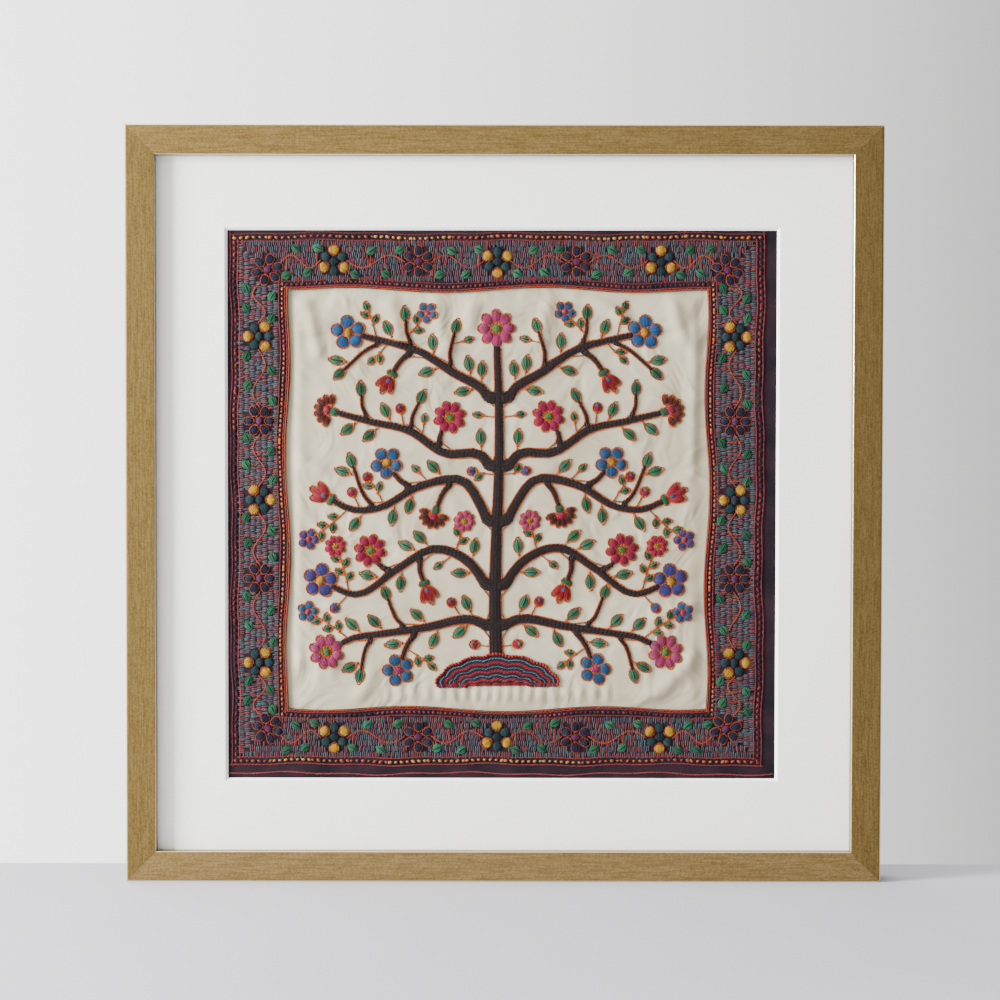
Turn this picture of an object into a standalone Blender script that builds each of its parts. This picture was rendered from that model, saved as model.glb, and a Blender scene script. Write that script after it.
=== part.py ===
"""Crewel embroidery panel in a white window mat and a gold wooden frame.

Metres, +Z up. The front of the frame faces -Y. The origin is under the middle of
the bottom rail, where the frame stands. A place on the panel is given as across
(to the right), up (from the middle of the frame) and deep (back from the front).
"""

from math import atan2, cos, hypot, pi, radians, sin

import bmesh
import bpy
import numpy as np
from mathutils import Matrix

MM = 0.001

# Frame
FRAME_SIDE = 550 * MM
RAIL_FACE = 22 * MM
RAIL_DEPTH = 30 * MM
LIP_DEPTH = 8 * MM
REBATE = 7 * MM
OUTER_ARRIS = 1.8 * MM
SIGHT_ARRIS = 0.8 * MM
ARRIS_STEPS = 3

# Gap between one piece and the next, and how near points are one point
FIT = 0.3 * MM
WELD = 0.01 * MM

# What fills the rebate, from the front backwards
MAT_THICK = 2 * MM
MAT_WINDOW = 400 * MM
MAT_WINDOW_PLACE = (-1.4 * MM, -0.6 * MM)
BOARD_THICK = 3 * MM
CLOTH_THICK = 1.2 * MM
MAT_DEEP = LIP_DEPTH + FIT
BORDER_DEEP = MAT_DEEP + MAT_THICK + FIT
GROUND_DEEP = BORDER_DEEP + CLOTH_THICK + FIT
BOARD_DEEP = GROUND_DEEP + CLOTH_THICK + FIT
REBATE_SIDE = FRAME_SIDE - 2 * (RAIL_FACE - REBATE) - 2 * FIT

# Embroidered square, measured from its own middle
WORK_MIDDLE = (-4.8 * MM, 3.2 * MM)
BORDER_REACH = 210 * MM
OUTER_GUARD = 191.2 * MM
INNER_GUARD = 156.6 * MM
FIELD_REACH = 152.7 * MM
GROUND_REACH = 160 * MM
GUARD_HALF = 3 * MM
GUARD_RISE = 0.4 * MM
BAND_RISE = 0.25 * MM

# The field's sewn edge wanders by this much, once in this length, and the two
# ends of each side start at different places of the wave.
EDGE_WAVE = 1.9 * MM
EDGE_WAVE_LONG = 23 * MM
EDGE_WAVE_STARTS = (1.3, 0.2)
EDGE_WAVE_CORNER = 6

# The cream cloth stands forward inside its seam, and is a little slack there
SEAM = 151 * MM
SEAM_RUN = 10 * MM
FIELD_RISE = 1.0 * MM
SLACK = 0.25 * MM
SLACK_LONG = (31 * MM, 37 * MM)

# Raised wool
WOOL_FIT = 0.4 * MM
WOOL_THICK = 0.9 * MM
PETAL_RISE = 1.0 * MM
HEART_RISE = 1.5 * MM
PETAL_SHARE = 0.7

# Folds of the cream cloth: where each runs, how wide and how high it stands
FOLDS = [
    {"start": (-147, 142), "end": (-147, -120), "wide": 5, "high": 1.3},
    {"start": (-138, 146), "end": (-136, 112), "wide": 6, "high": 0.8},
    {"start": (-79, 148), "end": (-74, 122), "wide": 8, "high": 0.7},
    {"start": (-38, 149), "end": (-34, 118), "wide": 8, "high": 0.9},
    {"start": (-12, 149), "end": (-16, 128), "wide": 7, "high": 0.6},
    {"start": (38, 149), "end": (34, 120), "wide": 8, "high": 0.8},
    {"start": (72, 147), "end": (88, 136), "wide": 7, "high": 1.0},
    {"start": (146, 124), "end": (143, 20), "wide": 5, "high": 1.2},
    {"start": (-146, -116), "end": (-122, -119), "wide": 6, "high": 0.9},
    {"start": (118, -85), "end": (143, -79), "wide": 6, "high": 0.8},
    {"start": (112, -146), "end": (148, -116), "wide": 8, "high": 1.1},
    {"start": (-70, -147), "end": (66, -146), "wide": 5, "high": 0.7},
]

# The flowering tree. Its right-hand half is given in millimetres from the middle
# of the field, and the left-hand half is its mirror image.
TRUNK = ((0, -113.7), (0, -60), (0, 0), (0, 60), (0, 115))
TRUNK_WIDE = (9.6, 5.0)
BRANCH_WIDE = (7.0, 4.0)
TWIG_WIDE = (3.8, 3.0)
SPRIG_WIDE = (2.6, 2.0)
BRANCHES = [
    {"foot": -96, "route": ((20, -88), (50, -93), (82, -97), (104, -100))},
    {"foot": -74, "route": ((20, -46), (46, -36), (72, -50), (100, -68))},
    {"foot": -34, "route": ((12, -6), (28, 14), (58, 10), (84, -4), (106, -6))},
    {"foot": 10, "route": ((14, 32), (40, 34), (66, 51), (94, 58))},
    {"foot": 52, "route": ((10, 78), (32, 92), (56, 108), (80, 116))},
]
FLOWERS = [
    {"branch": 0, "share": 1.00, "place": (124, -110), "radius": 13, "kind": "aster"},
    {"branch": 0, "share": 0.50, "place": (72, -124), "radius": 12, "kind": "round"},
    {"branch": 1, "share": 0.42, "place": (50, -66), "radius": 12, "kind": "tulip"},
    {"branch": 1, "share": 1.00, "place": (128, -58), "radius": 13, "kind": "round"},
    {"branch": 1, "share": 0.62, "place": (92, -36), "radius": 12, "kind": "aster"},
    {"branch": 2, "share": 0.28, "place": (46, -10), "radius": 12, "kind": "carnation"},
    {"branch": 2, "share": 1.00, "place": (127, 4), "radius": 13, "kind": "tulip"},
    {"branch": 2, "share": 0.55, "place": (82, 28), "radius": 12, "kind": "round"},
    {"branch": 3, "share": 0.32, "place": (36, 60), "radius": 12, "kind": "aster"},
    {"branch": 3, "share": 1.00, "place": (123, 66), "radius": 13, "kind": "carnation"},
    {"branch": 4, "share": 0.62, "place": (80, 88), "radius": 12, "kind": "tulip"},
    {"branch": 4, "share": 1.00, "place": (108, 123), "radius": 13, "kind": "round"},
]
SPRIGS = [
    {"branch": 0, "share": 0.78, "tip": (99, -122)},
    {"branch": 0, "share": 0.55, "tip": (78, -73)},
    {"branch": 2, "share": 0.74, "tip": (106, 24)},
    {"branch": 3, "share": 0.55, "tip": (59, 70)},
    {"branch": 3, "share": 0.78, "tip": (100, 76)},
    {"branch": 4, "share": 0.86, "tip": (111, 97)},
    {"branch": 4, "share": 0.28, "tip": (31, 120)},
    {"branch": 4, "share": 0.58, "tip": (66, 130)},
]
TOP_FLOWER = {"place": (0, 124), "radius": 14, "kind": "aster"}
KINDS = {
    "aster": {"colour": (0.43, 0.03, 0.13), "steps": 24},
    "round": {"colour": (0.06, 0.15, 0.36), "steps": 25},
    "tulip": {"colour": (0.33, 0.02, 0.02), "steps": 24},
    "carnation": {"colour": (0.09, 0.02, 0.02), "steps": 24},
}
LEAF_LONG = 12.5
LEAF_WIDE = 7.4
LEAF_STALK = 3.4
LEAF_TURN = radians(52)
LEAF_SHARES = (0.24, 0.56, 1.0)
LEAF_WIDTHS = (0.26, 0.86, 0.94, 0.0)
LEAF_CLEAR = 1.6
LEAF_MARGIN = 10.0
STEM_STEP = 8.0
TWIG_STEP = 6.0
MOUND = {"middle": (0, -137), "across": 44, "up": 23, "scallops": 7, "scallop": 1.6, "steps": 56}
MOUND_CLEAR = 0.8

# A twig leaves its stem this share of the way to its tip, and this far along the stem
TWIG_SPRING = 0.4
TWIG_LEAD = 3.0

# A stem's foot stays this share of its width off its parent's line, and the parent's
# edge leaves out the points under the foot
FOOT_SHARE = 0.42
FOOT_COVER = 1.5
FOOT_CLEAR = 0.6

# The needle wanders by this much across and up, once in these lengths
HAND_WANDER = (1.4, 1.2)
HAND_LONG = (37, 41)
HAND_START = (0.4, 1.1)

# Border flowers and leaves stand at these places along each side
STATIONS = (-119, -57.5, 0, 57.5, 119)
BAND_MIDDLE = 173.5
CORNER = 167.5
BORDER_RADIUS = 12.5
BORDER_STEPS = 18

COLOURS = {
    "gold": (0.38, 0.27, 0.12),
    "mat": (0.76, 0.77, 0.72),
    "board": (0.24, 0.17, 0.10),
    "cream": (0.62, 0.58, 0.49),
    "maroon": (0.10, 0.04, 0.05),
    "bark": (0.035, 0.02, 0.02),
    "navy": (0.015, 0.018, 0.05),
    "yellow": (0.60, 0.38, 0.08),
}


def material(name, colour, roughness, metallic=0.0):
    made = bpy.data.materials.new(name)
    made.use_nodes = True
    shader = made.node_tree.nodes["Principled BSDF"]
    shader.inputs["Base Color"].default_value = (*colour, 1)
    shader.inputs["Roughness"].default_value = roughness
    shader.inputs["Metallic"].default_value = metallic
    made.diffuse_color = (*colour, 1)
    return made


def add_piece(name, mesh, finish, home):
    piece = bpy.data.objects.new(name, mesh)
    if finish.name not in mesh.materials:
        mesh.materials.append(finish)
    home.objects.link(piece)
    return piece


def panel_point(across, up, deep):
    """World place of a point on the panel."""
    return across, deep - RAIL_DEPTH / 2, up + FRAME_SIDE / 2


def outline_mesh(name, outline, thickness):
    """Flat slab of an outline in the XY plane, as thick as given, made from a filled curve."""
    curve = bpy.data.curves.new(name, "CURVE")
    curve.dimensions = "2D"
    curve.fill_mode = "BOTH"
    curve.extrude = thickness / 2
    spline = curve.splines.new("POLY")
    spline.points.add(len(outline) - 1)
    for point, (x, y) in zip(spline.points, outline):
        point.co = (x, y, 0, 1)
    spline.use_cyclic_u = True
    holder = bpy.data.objects.new(name, curve)
    bpy.context.scene.collection.objects.link(holder)
    evaluated = holder.evaluated_get(bpy.context.evaluated_depsgraph_get())
    mesh = bpy.data.meshes.new_from_object(evaluated)
    bpy.data.objects.remove(holder)
    bpy.data.curves.remove(curve)
    shape = bmesh.new()
    shape.from_mesh(mesh)
    bmesh.ops.remove_doubles(shape, verts=shape.verts, dist=WELD)
    bmesh.ops.recalc_face_normals(shape, faces=shape.faces)
    shape.to_mesh(mesh)
    shape.free()
    return mesh


# Frame rails


def moulding_profile():
    """Section of a rail as (inward from the outer edge, deep), with both front arrises rounded."""
    steps = [pi / 2 * step / ARRIS_STEPS for step in range(ARRIS_STEPS + 1)]
    outer = [
        (OUTER_ARRIS * (1 - cos(a)), OUTER_ARRIS * (1 - sin(a))) for a in steps
    ]
    sight = [
        (RAIL_FACE - SIGHT_ARRIS * (1 - sin(a)), SIGHT_ARRIS * (1 - cos(a)))
        for a in steps
    ]
    rebate = [
        (RAIL_FACE, LIP_DEPTH),
        (RAIL_FACE - REBATE, LIP_DEPTH),
        (RAIL_FACE - REBATE, RAIL_DEPTH),
        (0, RAIL_DEPTH),
    ]
    return outer + sight + rebate


def mitred_rail():
    """Bottom rail, measured from the middle of the frame, with both ends cut to 45 degrees."""
    mesh = outline_mesh("rail", moulding_profile(), FRAME_SIDE)
    # Two rails meet at a corner. Each is cut short enough to leave the gap between them.
    short = FIT * 0.75
    for vertex in mesh.vertices:
        inward, deep, end = vertex.co
        side = 1 if end > 0 else -1
        along = side * (FRAME_SIDE / 2 - inward - short)
        vertex.co = (along, deep - RAIL_DEPTH / 2, inward - FRAME_SIDE / 2)
    mesh.flip_normals()
    return mesh


def add_rails(home):
    gold = material("gold_leaf_on_wood", COLOURS["gold"], 0.42, 0.6)
    mesh = mitred_rail()
    turns = {"rail_bottom": 0, "rail_left": 90, "rail_top": 180, "rail_right": 270}
    for name, turn in turns.items():
        rail = add_piece(name, mesh, gold, home)
        rail.location = (0, 0, FRAME_SIDE / 2)
        rail.rotation_euler = (0, radians(turn), 0)


# Mat and backing board


def slab_mesh(name, side, front, thickness):
    shape = bmesh.new()
    size = Matrix.Diagonal((side, thickness, side, 1))
    place = Matrix.Translation(panel_point(0, 0, front + thickness / 2))
    bmesh.ops.create_cube(shape, size=1, matrix=place @ size)
    mesh = bpy.data.meshes.new(name)
    shape.to_mesh(mesh)
    shape.free()
    return mesh


def add_mat(home, cutters):
    card = material("mat_board", COLOURS["mat"], 0.9)
    mat = add_piece("mat", slab_mesh("mat", REBATE_SIDE, MAT_DEEP, MAT_THICK), card, home)
    # The knife leans at 45 degrees, so the window is wider in front by its thickness a side.
    past = 2 * MM
    back_half = MAT_WINDOW / 2 - past
    front_half = MAT_WINDOW / 2 + MAT_THICK + past
    shape = bmesh.new()
    bmesh.ops.create_cone(
        shape,
        cap_ends=True,
        segments=4,
        radius1=front_half * 2**0.5,
        radius2=back_half * 2**0.5,
        depth=MAT_THICK + 2 * past,
    )
    across, up = MAT_WINDOW_PLACE
    place = Matrix.Translation(panel_point(across, up, MAT_DEEP + MAT_THICK / 2))
    lean = Matrix.Rotation(radians(-90), 4, "X") @ Matrix.Rotation(radians(45), 4, "Z")
    bmesh.ops.transform(shape, matrix=place @ lean, verts=shape.verts)
    mesh = bpy.data.meshes.new("window_cutter")
    shape.to_mesh(mesh)
    shape.free()
    cutter = bpy.data.objects.new("window_cutter", mesh)
    cutters.objects.link(cutter)
    cutter.hide_render = True
    cutter.display_type = "WIRE"
    cut = mat.modifiers.new("window", "BOOLEAN")
    cut.operation = "DIFFERENCE"
    cut.solver = "EXACT"
    cut.object = cutter


def add_board(home):
    board = material("backing_board", COLOURS["board"], 0.85)
    mesh = slab_mesh("backing_board", REBATE_SIDE, BOARD_DEEP, BOARD_THICK)
    add_piece("backing_board", mesh, board, home)


# Cloths


def grid_lines(inner, steps, outer):
    """Evenly spaced lines out to inner, then those of outer, on both sides of the middle."""
    middle = np.linspace(-inner, inner, steps + 1)
    outside = np.array(outer)
    return np.concatenate([-outside[::-1], middle, outside])


GROUND_LINES = grid_lines(
    134 * MM, 18, (141 * MM, 147 * MM, 151 * MM, GROUND_REACH)
)
BORDER_LINES = grid_lines(
    138 * MM,
    16,
    (
        FIELD_REACH,
        INNER_GUARD,
        INNER_GUARD + GUARD_HALF,
        OUTER_GUARD - GUARD_HALF,
        OUTER_GUARD,
        OUTER_GUARD + GUARD_HALF,
        BORDER_REACH,
    ),
)


def fold_height(across, up):
    """How far the folds lift the cream cloth here."""
    lift = 0.0
    for fold in FOLDS:
        start = np.array(fold["start"]) * MM
        run = np.array(fold["end"]) * MM - start
        reach = np.array((across, up)) - start
        share = min(1.0, max(0.0, reach.dot(run) / run.dot(run)))
        off = np.linalg.norm(reach - share * run) / (fold["wide"] * MM)
        lift += fold["high"] * MM * float(np.exp(-off * off))
    return lift


def ground_deep(across, up):
    """Depth of the cream cloth's face. It stands a little forward inside its border."""
    edge = max(abs(across), abs(up))
    inside = min(1.0, max(0.0, (SEAM - edge) / SEAM_RUN))
    inside = inside * inside * (3 - 2 * inside)
    slack = SLACK * sin(across / SLACK_LONG[0]) * cos(up / SLACK_LONG[1])
    return GROUND_DEEP - inside * (FIELD_RISE + slack + fold_height(across, up))


def wavy(across, up):
    """The sewn edge of the field wanders. The wave dies out towards the outer guard."""
    reach = max(abs(across), abs(up))
    share = min(1.0, max(0.0, (OUTER_GUARD - reach) / (OUTER_GUARD - FIELD_REACH)))
    along = up if abs(across) > abs(up) else across
    start = EDGE_WAVE_STARTS[0 if across > up else 1]
    wave = EDGE_WAVE * share * sin(along / EDGE_WAVE_LONG + start)
    corner = 1 - (min(abs(across), abs(up)) / reach) ** EDGE_WAVE_CORNER
    scale = 1 + wave * corner / reach
    return across * scale, up * scale


def border_deep(across, up):
    """Depth of the border's face, with its two guards and its stitched band raised."""
    reach = max(abs(across), abs(up))
    rise = 0.0
    if INNER_GUARD < reach < OUTER_GUARD:
        rise = BAND_RISE
    for guard in (INNER_GUARD, OUTER_GUARD):
        if abs(reach - guard) < FIT:
            rise = GUARD_RISE
    return BORDER_DEEP - rise


def cloth_sheet(name, lines, deep_at, place=lambda across, up: (across, up), hole=0.0):
    """Grid over the given lines, bent to its depth, with a square hole left in the middle."""
    count = len(lines)
    shape = bmesh.new()
    bmesh.ops.create_grid(
        shape, x_segments=count - 1, y_segments=count - 1, size=(count - 1) / 2
    )
    centre = (count - 1) / 2
    for vertex in shape.verts:
        across = lines[round(vertex.co.x + centre)]
        up = lines[round(vertex.co.y + centre)]
        vertex.co = (across, up, 0)
    gone = [
        face
        for face in shape.faces
        if max(abs(face.calc_center_median().x), abs(face.calc_center_median().y)) < hole
    ]
    bmesh.ops.delete(shape, geom=gone, context="FACES")
    for vertex in shape.verts:
        across, up = vertex.co.x, vertex.co.y
        deep = deep_at(across, up)
        across, up = place(across, up)
        vertex.co = panel_point(across + WORK_MIDDLE[0], up + WORK_MIDDLE[1], deep)
    for face in shape.faces:
        face.smooth = True
    bmesh.ops.recalc_face_normals(shape, faces=shape.faces)
    front = sum(face.normal.y for face in shape.faces) < 0
    if not front:
        bmesh.ops.reverse_faces(shape, faces=shape.faces)
    mesh = bpy.data.meshes.new(name)
    shape.to_mesh(mesh)
    shape.free()
    return mesh


def thicken(piece):
    solid = piece.modifiers.new("cloth", "SOLIDIFY")
    solid.thickness = CLOTH_THICK
    solid.offset = -1


def add_cloths(home):
    twill = material("cream_twill", COLOURS["cream"], 0.95)
    maroon = material("maroon_cloth", COLOURS["maroon"], 0.95)
    ground = cloth_sheet("ground_cloth", GROUND_LINES, ground_deep)
    thicken(add_piece("ground_cloth", ground, twill, home))
    border = cloth_sheet("border_cloth", BORDER_LINES, border_deep, wavy, FIELD_REACH)
    thicken(add_piece("border_cloth", border, maroon, home))


def ground_face(across, up):
    """Depth of the made grid's face between its lines."""
    column = int(np.clip(np.searchsorted(GROUND_LINES, across) - 1, 0, len(GROUND_LINES) - 2))
    row = int(np.clip(np.searchsorted(GROUND_LINES, up) - 1, 0, len(GROUND_LINES) - 2))
    left, right = GROUND_LINES[column : column + 2]
    low, high = GROUND_LINES[row : row + 2]
    x = (across - left) / (right - left)
    y = (up - low) / (high - low)
    lower = ground_deep(left, low) * (1 - x) + ground_deep(right, low) * x
    upper = ground_deep(left, high) * (1 - x) + ground_deep(right, high) * x
    return lower * (1 - y) + upper * y


# Wool worked on the cream cloth


def by_hand(x, y):
    """Small wander of the needle, in millimetres, so that the two halves differ a little."""
    wander_x = HAND_WANDER[0] * sin(y / HAND_LONG[0] + HAND_START[0])
    wander_y = HAND_WANDER[1] * sin(x / HAND_LONG[1] + HAND_START[1])
    return x + wander_x, y + wander_y


def on_ground(x, y, raised):
    """World place of a design point on the cream cloth, raised from its face."""
    x, y = by_hand(x, y)
    across, up = x * MM, y * MM
    deep = ground_face(across, up) - WOOL_FIT - raised
    return panel_point(across + WORK_MIDDLE[0], up + WORK_MIDDLE[1], deep)


def on_border(x, y, raised):
    """World place of a design point on the border, raised from its face."""
    deep = BORDER_DEEP - BAND_RISE - FIT - raised
    return panel_point(x * MM + WORK_MIDDLE[0], y * MM + WORK_MIDDLE[1], deep)


def evenly(line, spacing):
    """The line with its points an even distance apart, near to the spacing."""
    steps = np.linalg.norm(np.diff(line, axis=0), axis=1)
    length = np.concatenate([[0], np.cumsum(steps)])
    even = np.linspace(0, length[-1], max(2, round(length[-1] / spacing)) + 1)
    return np.column_stack([np.interp(even, length, line[:, axis]) for axis in (0, 1)])


def smooth_line(points):
    """Points a millimetre apart on a Catmull-Rom curve through the given ones."""
    knots = np.array(points, float)
    knots = np.vstack([2 * knots[0] - knots[1], knots, 2 * knots[-1] - knots[-2]])
    fine = []
    for a, b, c, d in zip(knots, knots[1:], knots[2:], knots[3:]):
        for t in np.linspace(0, 1, 30, endpoint=False):
            square = (2 * a - 5 * b + 4 * c - d) * t**2
            cube = (3 * b - a - 3 * c + d) * t**3
            fine.append(0.5 * (2 * b + (c - a) * t + square + cube))
    return evenly(np.array([*fine, knots[-2]]), 1.0)


def distance(points, place):
    return np.linalg.norm(points - np.array(place), axis=1)


def turned(vector, angle):
    x, y = vector
    return np.array((x * cos(angle) - y * sin(angle), x * sin(angle) + y * cos(angle)))


class Stem:
    """A worked stem: a line, its width at each point and the stems that grow from it."""

    def __init__(self, line, widths):
        self.line = np.array(line, float)
        if len(widths) == 2:
            widths = np.linspace(*widths, len(line))
        self.half = np.array(widths) / 2
        self.leafy = range(1, len(line) - 1)
        self.grown = []

    def heading(self, index):
        step = self.line[min(index + 1, len(self.line) - 1)] - self.line[max(index - 1, 0)]
        return step / np.linalg.norm(step)

    def grow(self, stem, side):
        """Sets a stem in the left (1) or right (-1) edge, at the point nearest to its foot."""
        at = int(np.argmin(distance(self.line[1:-1], stem.line[0]))) + 1
        self.grown.append((at, side, stem))

    def edge(self, index, side):
        return self.line[index] + side * self.half[index] * turned(self.heading(index), pi / 2)

    def side_points(self, side, order):
        """One edge of the stem, leaving out the points that a grown stem's foot covers."""
        here = [(at, stem) for at, s, stem in self.grown if s == side]
        points = []
        for index in order:
            point = self.edge(index, side)
            covered = any(
                np.linalg.norm(stem.line[0] - point) < FOOT_COVER * stem.half[0] + FOOT_CLEAR
                for _, stem in here
            )
            if not covered and all(at != index for at, _ in here):
                points.append(point)
            for at, stem in here:
                if at == index:
                    points += stem.outline()
        return points

    def outline(self):
        """Up the left edge to the tip and back down the right one, round each grown stem."""
        last = len(self.line) - 1
        tip = [self.edge(last, 1), self.edge(last, -1)] if self.half[last] else [self.line[last]]
        left = self.side_points(1, range(last))
        right = self.side_points(-1, range(last - 1, -1, -1))
        return left + tip + right


def rim(flower):
    """How far from a flower's middle its own stem ends."""
    return flower["radius"] * petal_reach(flower["kind"], pi) + 2 * FIT / MM


def facing(stem, flower):
    """The way a flower faces: straight on from the tip of its stem."""
    x, y = np.array(flower["place"]) - stem.line[-1]
    return atan2(y, x)


def stem_to_flower(route, flower, parent_line, parent_half, widths, spacing):
    """A stem from its parent's edge to the rim of its flower."""
    fine = smooth_line((*route, flower["place"]))
    fine = fine[distance(fine, flower["place"]) > rim(flower)]
    near = np.array([distance(parent_line, point).min() for point in fine])
    first = int(np.argmax(near > parent_half + FOOT_SHARE * widths[0]))
    return Stem(evenly(fine[first:], spacing), widths)


def leaf(foot, heading):
    """A stalk and a pointed leaf, as a stem whose width swells."""
    line = [foot + heading * LEAF_STALK * 0.4]
    line += [foot + heading * (LEAF_STALK + LEAF_LONG * share) for share in LEAF_SHARES]
    return Stem(line, [LEAF_WIDE * share for share in LEAF_WIDTHS])


def sprig(stem, at, tip):
    """A thin curved twig that ends in a leaf, clear of its parent's edge."""
    foot = stem.line[at]
    reach = np.array(tip) - foot
    spring = foot + TWIG_SPRING * reach + TWIG_LEAD * stem.heading(at)
    fine = smooth_line((foot, spring, tip))
    parent = smooth_line(stem.line)
    near = np.array([distance(parent, point).min() for point in fine])
    first = int(np.argmax(near > stem.half[at] + SPRIG_WIDE[0] / 2))
    line = evenly(fine[first:], TWIG_STEP)
    widths = list(np.linspace(*SPRIG_WIDE, len(line)))
    ahead = fine[-1] - fine[-4]
    ahead = ahead / np.linalg.norm(ahead)
    blade = [line[-1] + ahead * LEAF_LONG * share for share in LEAF_SHARES]
    widths += [LEAF_WIDE * share for share in LEAF_WIDTHS[1:]]
    spray = Stem(np.vstack([line, blade]), widths)
    spray.leafy = range(1, len(line) - 1)
    return spray


def side_of(stem, at, place):
    """1 where the place lies to the left of the stem, and -1 to its right."""
    ahead = stem.heading(at)
    reach = np.array(place) - stem.line[at]
    return 1 if ahead[0] * reach[1] > ahead[1] * reach[0] else -1


def leaf_room(line, stems, leaves, circles):
    """Whether a leaf lies clear of the stems, leaves and flowers so far."""
    far_stems = stems[distance(stems, line[0]) > LEAF_STALK + LEAF_WIDE / 2]
    for point in line[1:]:
        if distance(far_stems, point).min() < (LEAF_WIDE + BRANCH_WIDE[0]) / 2:
            return False
        if leaves and distance(np.vstack(leaves), point).min() < LEAF_WIDE + LEAF_CLEAR:
            return False
        for place, radius in circles:
            if hypot(*(point - place)) < radius + LEAF_WIDE / 2 + LEAF_CLEAR / 2:
                return False
        if max(abs(point)) > FIELD_REACH / MM - LEAF_MARGIN or point[0] < LEAF_WIDE:
            return False
    return True


def grow_branches(trunk_line):
    """The right-hand branches with their twigs and leaves, and the way each flower faces."""
    circles = [(np.array(flower["place"]), flower["radius"]) for flower in FLOWERS]
    circles.append((np.array(TOP_FLOWER["place"]), TOP_FLOWER["radius"]))
    circles.append((np.array(MOUND["middle"]), MOUND["across"] * MOUND_CLEAR))
    branches = []
    twigs = []
    headings = {}
    for number, branch in enumerate(BRANCHES):
        own = [flower for flower in FLOWERS if flower["branch"] == number]
        last = next(flower for flower in own if flower["share"] == 1)
        route = ((0, branch["foot"]), *branch["route"])
        stem = stem_to_flower(route, last, trunk_line, TRUNK_WIDE[0] / 2, BRANCH_WIDE, STEM_STEP)
        branches.append(stem)
        headings[last["place"]] = facing(stem, last)
        for flower in own:
            if flower is last:
                continue
            at = round(flower["share"] * (len(stem.line) - 1))
            foot = stem.line[at]
            reach = np.array(flower["place"]) - foot
            side = side_of(stem, at, flower["place"])
            route = (foot, foot + TWIG_SPRING * reach + TWIG_LEAD * stem.heading(at))
            parent = smooth_line(stem.line)
            twig = stem_to_flower(route, flower, parent, stem.half[at], TWIG_WIDE, TWIG_STEP)
            stem.grow(twig, side)
            twigs.append(twig)
            headings[flower["place"]] = facing(twig, flower)
        for row in (row for row in SPRIGS if row["branch"] == number):
            at = round(row["share"] * (len(stem.line) - 1))
            spray = sprig(stem, at, row["tip"])
            stem.grow(spray, side_of(stem, at, row["tip"]))
            twigs.append(spray)
    worked = [smooth_line(stem.line) for stem in branches + twigs]
    stems = np.vstack([trunk_line, *worked])
    leaves = []
    for stem in branches + twigs:
        feet = [child.line[0] for _, _, child in stem.grown]
        for at in stem.leafy:
            for side in (1, -1):
                heading = turned(stem.heading(at), side * LEAF_TURN)
                foot = stem.line[at] + heading * (stem.half[at] / sin(LEAF_TURN))
                if any(np.linalg.norm(foot - other) < LEAF_WIDE for other in feet):
                    continue
                grown = leaf(foot, heading)
                if leaf_room(grown.line, stems, leaves, circles):
                    stem.grow(grown, side)
                    leaves.append(smooth_line(grown.line[1:]))
    return branches, headings


def mirrored(stem):
    """The same stem on the other side of the trunk."""
    other = Stem(stem.line * (-1, 1), 2 * stem.half)
    other.grown = [(at, -side, mirrored(child)) for at, side, child in stem.grown]
    return other


def add_tree(home):
    """Trunk, branches, twigs and leaves as one outline, raised as worked wool.

    Returns the way each right-hand flower faces."""
    line = smooth_line(TRUNK)
    line = line[distance(line, TOP_FLOWER["place"]) > rim(TOP_FLOWER)]
    trunk = Stem(evenly(line, TWIG_STEP), TRUNK_WIDE)
    branches, headings = grow_branches(line)
    for stem in branches:
        trunk.grow(stem, -1)
        trunk.grow(mirrored(stem), 1)
    mesh = outline_mesh("tree", trunk.outline(), WOOL_THICK / MM)
    for vertex in mesh.vertices:
        x, y, z = vertex.co
        vertex.co = on_ground(x, y, WOOL_THICK if z > 0 else 0)
    face_outwards(mesh)
    add_piece("tree", mesh, material("bark_wool", COLOURS["bark"], 0.9), home)
    return headings


def face_outwards(mesh):
    shape = bmesh.new()
    shape.from_mesh(mesh)
    bmesh.ops.recalc_face_normals(shape, faces=shape.faces)
    if shape.calc_volume(signed=True) < 0:
        bmesh.ops.reverse_faces(shape, faces=shape.faces)
    shape.to_mesh(mesh)
    shape.free()


def petal_reach(kind, angle):
    """Radius of a flower's outline, as a share. The angle is measured from the way it faces."""
    if kind == "aster":
        return 0.84 + 0.16 * cos(8 * angle)
    if kind == "round":
        return 0.88 + 0.12 * cos(5 * angle)
    if kind == "tulip":
        lift = 0.5 + 0.5 * cos(angle)
        return 0.62 + 0.19 * lift + 0.19 * lift * cos(6 * angle)
    if kind == "carnation":
        lift = 0.5 + 0.5 * cos(angle)
        return 0.46 + 0.46 * lift + 0.08 * lift * cos(8 * angle)
    if kind == "rosette":
        return 0.85 + 0.15 * cos(6 * angle)
    return 0.86 + 0.14 * cos(3 * angle)


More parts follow.
